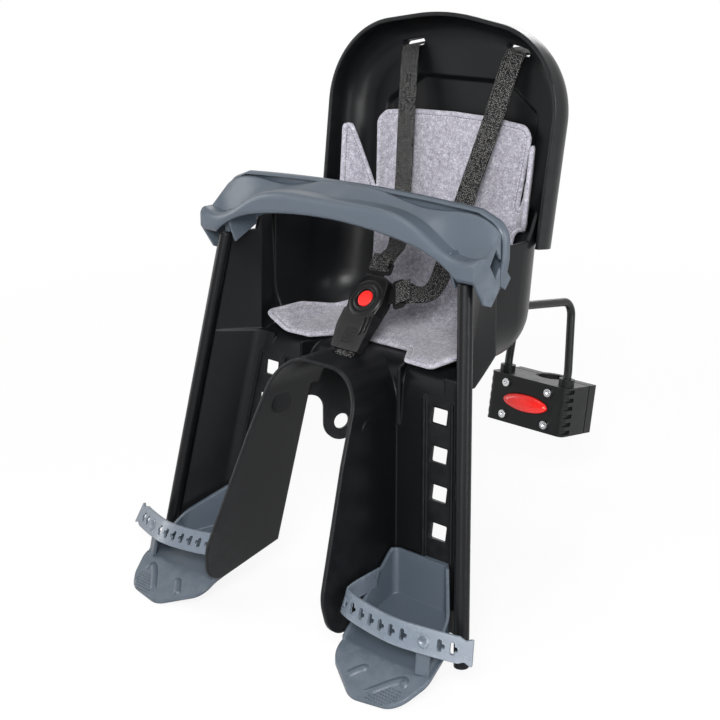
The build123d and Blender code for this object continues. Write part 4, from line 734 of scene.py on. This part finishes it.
# Buckle plane: its face leans back, and a tongue points along its own turn
buckleSettings = {"y": 13.0, "z": 57.0, "lean": 38.0, "rise": 4.0}
lean = math.radians(buckleSettings["lean"])
buckleUp = Vector((0, math.sin(lean), math.cos(lean)))
buckleOut = Vector((0, -math.cos(lean), math.sin(lean)))
buckleMiddle = Vector((0, buckleSettings["y"], buckleSettings["z"]))


def bucklePoint(x, up, out):
    return buckleMiddle + Vector((1, 0, 0)) * x + buckleUp * up + buckleOut * out


# Loop round the outer bar of a tongue: run from its slot, share of the tail, and height off the tongue
tongueFold = ((0, 1, 3.0), (0, 0.5, 3.4), (3, 0, 3.0), (-2.6, 0, 2.4), (-2.6, 0, -2.72), (4, 0, -3.4), (0, 0.8, -3.4))


def tongueLoop(turn, layer, slot, tail):
    angle = math.radians(turn)
    across = Vector((1, 0, 0)) * math.cos(angle) + buckleUp * math.sin(angle)
    along = buckleOut.cross(across)
    root = bucklePoint(0, buckleSettings["rise"], layer)
    return [(root + along * (slot + run + tail * share) + buckleOut * out, across) for run, share, out in tongueFold]


strapSettings = {
    "left": {"turn": 6.0, "layer": 2.6, "slot": 37.5, "tail": 16.0,
             "stations": [((-7, 58, 104), (1, 0, 0.1)), ((-15, 76, 106), (1, 0, 0.2)),
                          ((-27, 93, 122), (0.97, 0, 0.25)), ((-41, 116, 160), (0.965, 0, 0.26)),
                          ((-54, 135, 232), (0.975, 0, 0.22)),
                          ((-67, 154.5, 296), (0.975, 0, 0.22)), ((-70.6, 162, 310), (0.98, 0, 0.2)),
                          ((-70.7, 172, 310.6), (0.98, 0, 0.2)), ((-70.7, 184, 310.6), (0.98, 0, 0.2))]},
    "right": {"turn": -62.0, "layer": -2.6, "slot": 34.5, "tail": 15.0,
              "stations": [((46, 44, 70), (0.75, -0.4, -0.5)), ((49, 60, 71), (0.93, -0.25, -0.25)),
                           ((50, 74, 88), (0.985, -0.05, -0.14)), ((51, 86, 122), (0.985, 0, -0.14)),
                           ((57, 119, 197), (0.985, 0, -0.14)), ((63, 141, 252), (0.985, 0, -0.14)),
                           ((69, 155.5, 298), (0.985, 0, -0.14)), ((70.6, 162, 310), (0.98, 0, -0.18)),
                           ((70.7, 172, 310.6), (0.98, 0, -0.2)), ((70.7, 184, 310.6), (0.98, 0, -0.2))]},
}
for side, s in strapSettings.items():
    loop = tongueLoop(s["turn"], s["layer"], s["slot"], s["tail"])
    band = webBand("shoulderWeb" + side.capitalize(), loop + s["stations"])
    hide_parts("shoulder_strap_" + side)

crotchSettings = {"top": -20.0, "foot": -70.0, "bulge": 0.6}
crotchStations = [(bucklePoint(0, crotchSettings["top"] + (crotchSettings["foot"] - crotchSettings["top"]) * share,
                               crotchSettings["bulge"] * math.sin(share * math.pi)), (1, 0, 0))
                  for share in (0, 0.33, 0.66, 1)]
crotchWeb = webBand("crotchWeb", crotchStations)
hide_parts("crotch_strap")
print("webbing laid")


def inside(spot, loop):
    x, y = loop[:, 0], loop[:, 1]
    nextX, nextY = np.roll(x, -1), np.roll(y, -1)
    crossed = (y > spot.y) != (nextY > spot.y)
    with np.errstate(divide="ignore", invalid="ignore"):
        meets = x + (spot.y - y) * (nextX - x) / (nextY - y)
    return bool(np.sum(crossed & (meets > spot.x)) % 2)


# Flat pattern with holes, cut out and given a thickness: place maps a pattern point and a height to the model
def cutOut(name, loops, grid, low, high, place, material):
    loops = [np.array(loop, float) for loop in loops]
    starts = np.cumsum([0] + [len(loop) for loop in loops])
    edges = [(first + index, first + (index + 1) % len(loop))
             for first, loop in zip(starts, loops) for index in range(len(loop))]
    lowest, highest = loops[0].min(0), loops[0].max(0)
    along, across = np.meshgrid(*(np.arange(start, end, grid) for start, end in zip(lowest, highest)))
    inner = np.stack([along.ravel(), across.ravel()], 1)
    for loop in loops:
        inner = inner[distanceToOutline(inner, loop) > grid * 0.5]
    flat = [Vector(point) for point in np.concatenate([*loops, inner])]
    flat, _, faces, *_ = delaunay_2d_cdt(flat, edges, [], 1, meshGap)

    def inHole(face):
        middle = sum((flat[index] for index in face), Vector((0, 0))) / len(face)
        return any(inside(middle, loop) for loop in loops[1:])
    faces = [face for face in faces if not inHole(face)]
    used = sorted({index for face in faces for index in face})
    order = {index: spot for spot, index in enumerate(used)}
    count = len(used)
    points = [place(*flat[index], level) for level in (high, low) for index in used]
    skin = [tuple(order[index] for index in face) for face in faces]
    skin += [tuple(count + index for index in reversed(face)) for face in skin]
    for first, loop in zip(starts, loops):
        for index in range(len(loop)):
            here, after = order.get(first + index), order.get(first + (index + 1) % len(loop))
            if here is not None and after is not None:
                skin.append((here, count + here, count + after, after))
    return newPiece(name, points, skin, material, smooth=False)


# Round piece turned about the button's axis, from pairs of radius and height
def buckleTurned(name, profile, material, steps=96):
    points, faces = [], []
    for cosine, sine in circle(steps):
        for radius, out in profile:
            points.append(seatPoint(*bucklePoint(radius * cosine, buckleSettings["rise"] + radius * sine, out)))
    rows = len(profile)
    for turn in range(steps):
        after = (turn + 1) % steps
        for row in range(rows):
            near, far = row, (row + 1) % rows
            faces.append((turn * rows + near, after * rows + near, after * rows + far, turn * rows + far))
    return newPiece(name, points, faces, material)


# Small domes set on a surface
domeSettings = {"sides": 8, "shares": (0, 0.35, 0.7)}


def domes(name, places, radius, height, material):
    sides, shares = domeSettings["sides"], domeSettings["shares"]
    bands = len(shares) - 1
    points, faces = [], []
    for spot, up in places:
        up = Vector(up).normalized()
        side = up.orthogonal().normalized()
        cross = up.cross(side)
        base = len(points)
        top = base + bands * sides
        for share in shares:
            girth = radius * math.cos(share * math.pi / 2)
            for cosine, sine in circle(sides):
                spoke = (side * cosine + cross * sine) * girth
                points.append(seatPoint(*(spot + spoke + up * (height * math.sin(share * math.pi / 2)))))
        points.append(seatPoint(*(spot + up * height)))
        faces += ringFaces(bands, sides, base)
        faces += [(top + turn, top + (turn + 1) % sides, top + sides) for turn in range(sides)]
        faces.append(tuple(base + turn for turn in reversed(range(sides))))
    return newPiece(name, points, faces, material)


# Staggered rows of dots: each spot, and how far its row is shifted
rowPitch = 0.87


def dotRows(left, right, low, high, pitch):
    return [(x, y, (row % 2) * pitch / 2) for row, y in enumerate(np.arange(low, high, pitch * rowPitch))
            for x in np.arange(left, right, pitch)]


# A ridge that swells along its middle and dies away at both ends
ridgeSettings = {"rounds": 3, "sides": 10, "taper": 0.25, "least": 0.05, "swell": 0.6}


def ridge(name, spots, up, radius, material):
    s = ridgeSettings
    route = cutCorners([list(spot) for spot in spots], s["rounds"])
    last, sides = len(route) - 1, s["sides"]
    points = []
    for index, spot in enumerate(route):
        beside = Vector(route[min(index + 1, last)] - route[max(index - 1, 0)]).normalized().cross(up)
        share = index / last
        girth = radius * max(s["least"], min(1, share / s["taper"], (1 - share) / s["taper"])) ** s["swell"]
        points += [seatPoint(*(Vector(spot) + (beside * cosine + up * sine) * girth))
                   for cosine, sine in circle(sides)]
    return newPiece(name, points, closedTube(last, sides), material)


def rideOn(piece, body):
    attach(piece, body)


# Buckle front: a round boss about the button, a grip below it, ribs and grip dots
buckleFace = {
    "boss": [(10.2, 5.0), (10.2, 9.2), (10.8, 9.9), (13.0, 9.9), (13.6, 9.1), (14.6, 9.1), (15.2, 9.6), (19.4, 9.0),
             (21.4, 7.9), (22.0, 6.4), (22.0, 3.0)],
    "grip": [(-21, -9, 4), (-21.5, -30, 6), (-18.5, -54, 3), (18.5, -54, 3), (21.5, -30, 6), (21, -9, 4)],
    "gripDepth": (-3.0, 8.4), "gripStep": 1.6, "gripGrid": 4.0, "fallFrom": -28, "fall": 0.12,
    "ribs": ((12.5, -16, -36), (17.5, -14, -33)), "ribRadius": 1.5, "ribLevel": 8.6, "ribSpots": 5,
    "dots": (-7, 7, -46, -30, 2.6), "dotRadius": 0.75, "dotHeight": 0.6, "dotLevel": 8.35,
}


# The grip's face falls away towards its lower end
def gripFall(up):
    return max(0, buckleFace["fallFrom"] - up) * buckleFace["fall"]


def gripPlace(x, up, out):
    return seatPoint(*bucklePoint(x, up, out - gripFall(up) * (out > 0)))


rideOn(buckleTurned("buckleBoss", buckleFace["boss"], "blackPlastic"), "seat")
gripLoop = roundedOutline(buckleFace["grip"], buckleFace["gripStep"])
grip = cutOut("buckleGrip", [gripLoop], buckleFace["gripGrid"], *buckleFace["gripDepth"], gripPlace, "blackPlastic")
rideOn(grip, "seat")
for index, (x, high, low) in enumerate(buckleFace["ribs"]):
    spots = [bucklePoint(x, up, buckleFace["ribLevel"] - gripFall(up))
             for up in np.linspace(high, low, buckleFace["ribSpots"])]
    rideOn(ridge("buckleRib%d" % (index + 1), spots, buckleOut.normalized(), buckleFace["ribRadius"], "blackPlastic"),
           "seat")
dotPlaces = [(bucklePoint(x + shift, up, buckleFace["dotLevel"] - gripFall(up)), buckleOut)
             for x, up, shift in dotRows(*buckleFace["dots"])]
rideOn(domes("buckleDots", dotPlaces, buckleFace["dotRadius"], buckleFace["dotHeight"], "blackPlastic"),
       "seat")
print("buckle front built")

# Domed lens over the front of the release button, which stays under it
lensSettings = {"tilt": 9.0, "half": (32.0, 10.5), "overlap": 0.05, "edge": 2.9, "rise": 3.2, "fall": 0.5,
                "topInset": 0.985, "rings": 14, "steps": 72}


def buildLens():
    s = lensSettings
    tilt = math.radians(s["tilt"])
    front, up = Vector((0, -math.cos(tilt), math.sin(tilt))), Vector((0, math.sin(tilt), math.cos(tilt)))
    button = nodes["release_button"]
    reach = max((button.matrix_world @ vertex.co).dot(front) for vertex in button.data.vertices)
    wide, tall = (half + s["overlap"] for half in s["half"])
    bands, steps = s["rings"] - 1, s["steps"]
    points = []
    for ring in range(bands + 1):
        roundness = math.sin(math.pi / 2 * ring / bands)  # 0 at the rim, 1 at the top
        inset = tall * s["topInset"] * (1 - math.sqrt(1 - roundness ** 2))
        for cosine, sine in circle(steps):
            x, y = (wide - inset) * cosine, (tall - inset) * sine
            crown = s["rise"] * (1 - s["fall"] * (x / wide) ** 2)
            level = -s["edge"] + (s["edge"] + crown) * roundness
            points.append((Vector((1, 0, 0)) * x + up * y) * millimetre + front * (reach + level * millimetre))
    return newPiece("releaseLens", points, closedTube(bands, steps), "redButton")


rideOn(buildLens(), "release_button")
print("release lens built")

# Foot strap: a toothed band with keyhole slots, drawn flat and wrapped over the foot
footStrap = {
    "route": [(73.2, -52), (71.2, -98), (80, -108), (140, -112), (176, -101), (220, -83)], "rounds": 4,
    "height": 22.0, "thickness": 2.4, "foot": -220.0, "lift": 16.0, "tilt": 0.28,
    "holes": 11, "firstHole": 56.0, "pitch": 12.6, "hole": (2.2, 5.0, 5.2, 1.8), "holeStep": 0.9,
    "studRoom": 10.0, "endRoom": 20.0, "end": 207.0, "edgeStep": 2.2, "grid": 3.0,
    "neck": [(19, 0, 6), (13, 2.5, 3), (6, -0.5, 4)],  # back from the end, in from the edge, corner radius
    "teeth": [(0.2, 3.4), (1.6, 5.2), (0, 6.6), (1.6, 8.2), (0, 9.6), (1.6, 11), (0, 12.4), (1.6, 13.8), (0, 15.2),
              (1.6, 16.8), (0.2, 18.6)],  # back from the end, up the band
    "stud": [(0.0, 2.2), (2.2, 2.2), (2.6, 2.8), (5.6, 2.6), (6.5, 1.2)], "studSteps": 24, "studAcross": 175.0,
    "splay": 0.14, "rake": 0.16, "legTop": -50.0,
}
strapRoute = cutCorners(footStrap["route"], footStrap["rounds"])
strapLength = np.concatenate([[0], np.cumsum(np.linalg.norm(np.diff(strapRoute, axis=0), axis=1))])
studAlong = float(np.interp(footStrap["studAcross"], strapRoute[:, 0], strapLength))
strapTangent = np.gradient(strapRoute, axis=0)
strapTangent /= np.linalg.norm(strapTangent, axis=1)[:, None]


# Point of the band: along it, up it, and out from its middle
def bandPlace(side, along, up, out):
    s = footStrap
    x, y, run, rise = (np.interp(along, strapLength, row) for row in (*strapRoute.T, *strapTangent.T))
    outward = Vector((rise, -run)).normalized()
    shift = out - s["tilt"] * (up - s["height"] / 2)
    level = up + s["foot"] + s["lift"] * max(0, 1 - along / strapLength[-1])
    x, y = x + outward.x * shift, y + outward.y * shift
    return seatPoint(side * (x - s["splay"] * (level - s["legTop"])), y + s["rake"] * (level - s["legTop"]), level)


def strapLoops():
    s = footStrap
    top, end = s["height"], s["end"]
    outline = [(0, 0, 0)] + [(end - back, edge, radius) for back, edge, radius in s["neck"]]
    outline += [(end - back, up, 0) for back, up in s["teeth"]]
    outline += [(end - back, top - edge, radius) for back, edge, radius in reversed(s["neck"])] + [(0, top, 0)]
    loops = [roundedOutline(outline, s["edgeStep"])]
    wide, tall, notch, low = s["hole"]
    key = [(-wide, -tall, 2), (wide, -tall, 2), (wide, -low, 0.6), (notch, -low, 1.2),
           (notch, low, 1.2), (wide, low, 0.6), (wide, tall, 2), (-wide, tall, 2)]
    for index in range(s["holes"]):
        at = s["firstHole"] + index * s["pitch"]
        if abs(at - studAlong) >= s["studRoom"] and at <= end - s["endRoom"]:
            loops.append(roundedOutline([(at + x, top / 2 + y, radius) for x, y, radius in key], s["holeStep"]))
    return loops


def buildFootStrap(side, name):
    s = footStrap
    steps = s["studSteps"]

    def place(along, up, out):
        return bandPlace(side, along, up, out)
    band = cutOut(name, strapLoops(), s["grid"], -s["thickness"] / 2, s["thickness"] / 2, place, "strapPlastic")
    points = []
    for radius, out in s["stud"]:
        points += [place(studAlong + radius * cosine, s["height"] / 2 + radius * sine, out)
                   for cosine, sine in circle(steps)]
    stud = newPiece(name + "Stud", points, ringFaces(len(s["stud"]) - 1, steps), "strapPlastic")
    return band, stud


# Toe of the footrest: two crests and a patch of grip dots on its sloping face
toeSettings = {
    "level": -250.0, "depth": -145.6, "slope": 0.575, "radius": 6.5, "sunk": 4.9,
    "crests": [[(124, -154), (129, -151), (134, -144), (143, -138)],
               [(150, -161), (161, -158), (170, -148), (184, -136), (188, -140), (190, -146)]],
    "dots": (148, 192, -167, -150, 3.2), "dotRadius": 0.9, "dotHeight": 0.5,
    "patch": (184, -153, 12),  # a point on the middle of the strip of dots, and half its width
}
toeUp = Vector((0, -toeSettings["slope"], 1)).normalized()


def toePoint(side, x, y, lift):
    s = toeSettings
    return Vector((side * x, y, s["level"] + s["slope"] * (y - s["depth"]) + lift))


for side, name in ((-1, "Left"), (1, "Right")):
    body = "footrest_" + name.lower()
    band, stud = buildFootStrap(side, "footStrap" + name)
    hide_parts("foot_strap_" + name.lower())
    rideOn(band, body)
    rideOn(stud, body)
    s = toeSettings
    for index, crest in enumerate(s["crests"]):
        spots = [toePoint(side, x, y, -s["sunk"]) for x, y in crest]
        rideOn(ridge("toeCrest%s%d" % (name, index + 1), spots, toeUp, s["radius"], "greyPlastic"),
               body)
    midX, midY, half = s["patch"]
    places = [(toePoint(side, x + shift, y, 0), toeUp) for x, y, shift in dotRows(*s["dots"])
              if abs(x - midX - (y - midY)) < half]
    rideOn(domes("toeDots" + name, places, s["dotRadius"], s["dotHeight"], "greyPlastic"), body)
print("foot straps and toe grips built")

# Camera at the photograph's angle
cameraSettings = {"lens": 70, "sensor": 36, "place": (0.9453, -1.3832, 0.5714), "down": 17.382, "turn": 42.427}
camera = bpy.data.objects.new("camera", bpy.data.cameras.new("camera"))
camera.data.lens = cameraSettings["lens"]
camera.data.sensor_width = cameraSettings["sensor"]
camera.location = cameraSettings["place"]
camera.rotation_euler = (math.radians(90 - cameraSettings["down"]), 0, math.radians(cameraSettings["turn"]))
bpy.context.scene.collection.objects.link(camera)
bpy.context.scene.camera = camera

# Soft studio light
lampSettings = {  # place, aim, width, height and watts
    "key": ((1.15, -1.75, 1.15), (0, -0.35, 0.15), 0.55, 0.55, 44.0),
    "top": ((-0.3, -0.9, 2.2), (0, -0.3, 0.1), 1.0, 1.0, 9.0),
    "fill": ((-1.7, -1.1, 0.62), (0, -0.35, 0.3), 0.45, 1.4, 11.0),
    "side": ((1.9, -0.35, 0.62), (0, -0.3, 0.3), 0.45, 1.4, 16.0),
    "strip": ((0.62, -2.0, 0.55), (0, -0.4, 0.2), 0.3, 1.3, 8.0),
    "back": ((-1.0, 1.7, 1.5), (0, -0.2, 0.15), 1.2, 1.2, 24.0),
}
for name, (place, aim, width, height, watts) in lampSettings.items():
    lamp = bpy.data.objects.new(name, bpy.data.lights.new(name, "AREA"))
    lamp.data.energy = watts
    lamp.data.shape = "RECTANGLE"
    lamp.data.size = width
    lamp.data.size_y = height
    lamp.location = place
    lamp.rotation_euler = (Vector(aim) - Vector(place)).to_track_quat("-Z", "Y").to_euler()
    bpy.context.scene.collection.objects.link(lamp)


# White where it is seen or mirrored, a dimmer grey where it lights
def seenRays(tree):
    path = put(tree, "ShaderNodeLightPath").outputs
    return calc(tree, "MAXIMUM", calc(tree, "MAXIMUM", path["Is Camera Ray"], path["Is Glossy Ray"]),
                path["Is Transmission Ray"])


skySettings = {"seen": 1.0, "light": 0.22}
world = bpy.data.worlds.new("studio")
bpy.context.scene.world = world
world.use_nodes = True
sky = world.node_tree
backdrop = sky.nodes["Background"]
backdrop.inputs["Color"].default_value = (1, 1, 1, 1)
skyLevel = span(sky, seenRays(sky), 0.0, 1.0, skySettings["light"], skySettings["seen"])
sky.links.new(skyLevel, backdrop.inputs["Strength"])

floorSettings = {"size": 30.0, "whiteness": 0.88, "gap": 0.0005, "fade": (0.5, 1.6),
                 "finish": {"Base Color": (0.86, 0.86, 0.86, 1), "Roughness": 0.9, "Specular IOR Level": 0.1}}
reach = floorSettings["size"]
level = cadBox[0][2] - floorSettings["gap"]
floorMesh = bpy.data.meshes.new("floor")
floorCorners = [(-reach, -reach, level), (reach, -reach, level), (reach, reach, level), (-reach, reach, level)]
floorMesh.from_pydata(floorCorners, [], [(0, 1, 2, 3)])
floor = bpy.data.objects.new("floor", floorMesh)
bpy.context.scene.collection.objects.link(floor)
material, tree, shader = newMaterial("paleFloor")
setInputs(shader, floorSettings["finish"])
white = put(tree, "ShaderNodeEmission", {"Color": (1, 1, 1, 1), "Strength": 1.0})
away = put(tree, "ShaderNodeVectorMath", {0: objectPlace(tree)}, operation="LENGTH").outputs["Value"]
whiter = span(tree, away, *floorSettings["fade"], floorSettings["whiteness"], 1.0)
share = calc(tree, "MULTIPLY", seenRays(tree), whiter)
mixed = put(tree, "ShaderNodeMixShader", {0: share, 1: shader.outputs[0], 2: white.outputs[0]})
tree.links.new(mixed.outputs[0], tree.nodes["Material Output"].inputs["Surface"])
floorMesh.materials.append(material)
bpy.context.scene.view_settings.view_transform = "Standard"
print("studio set")
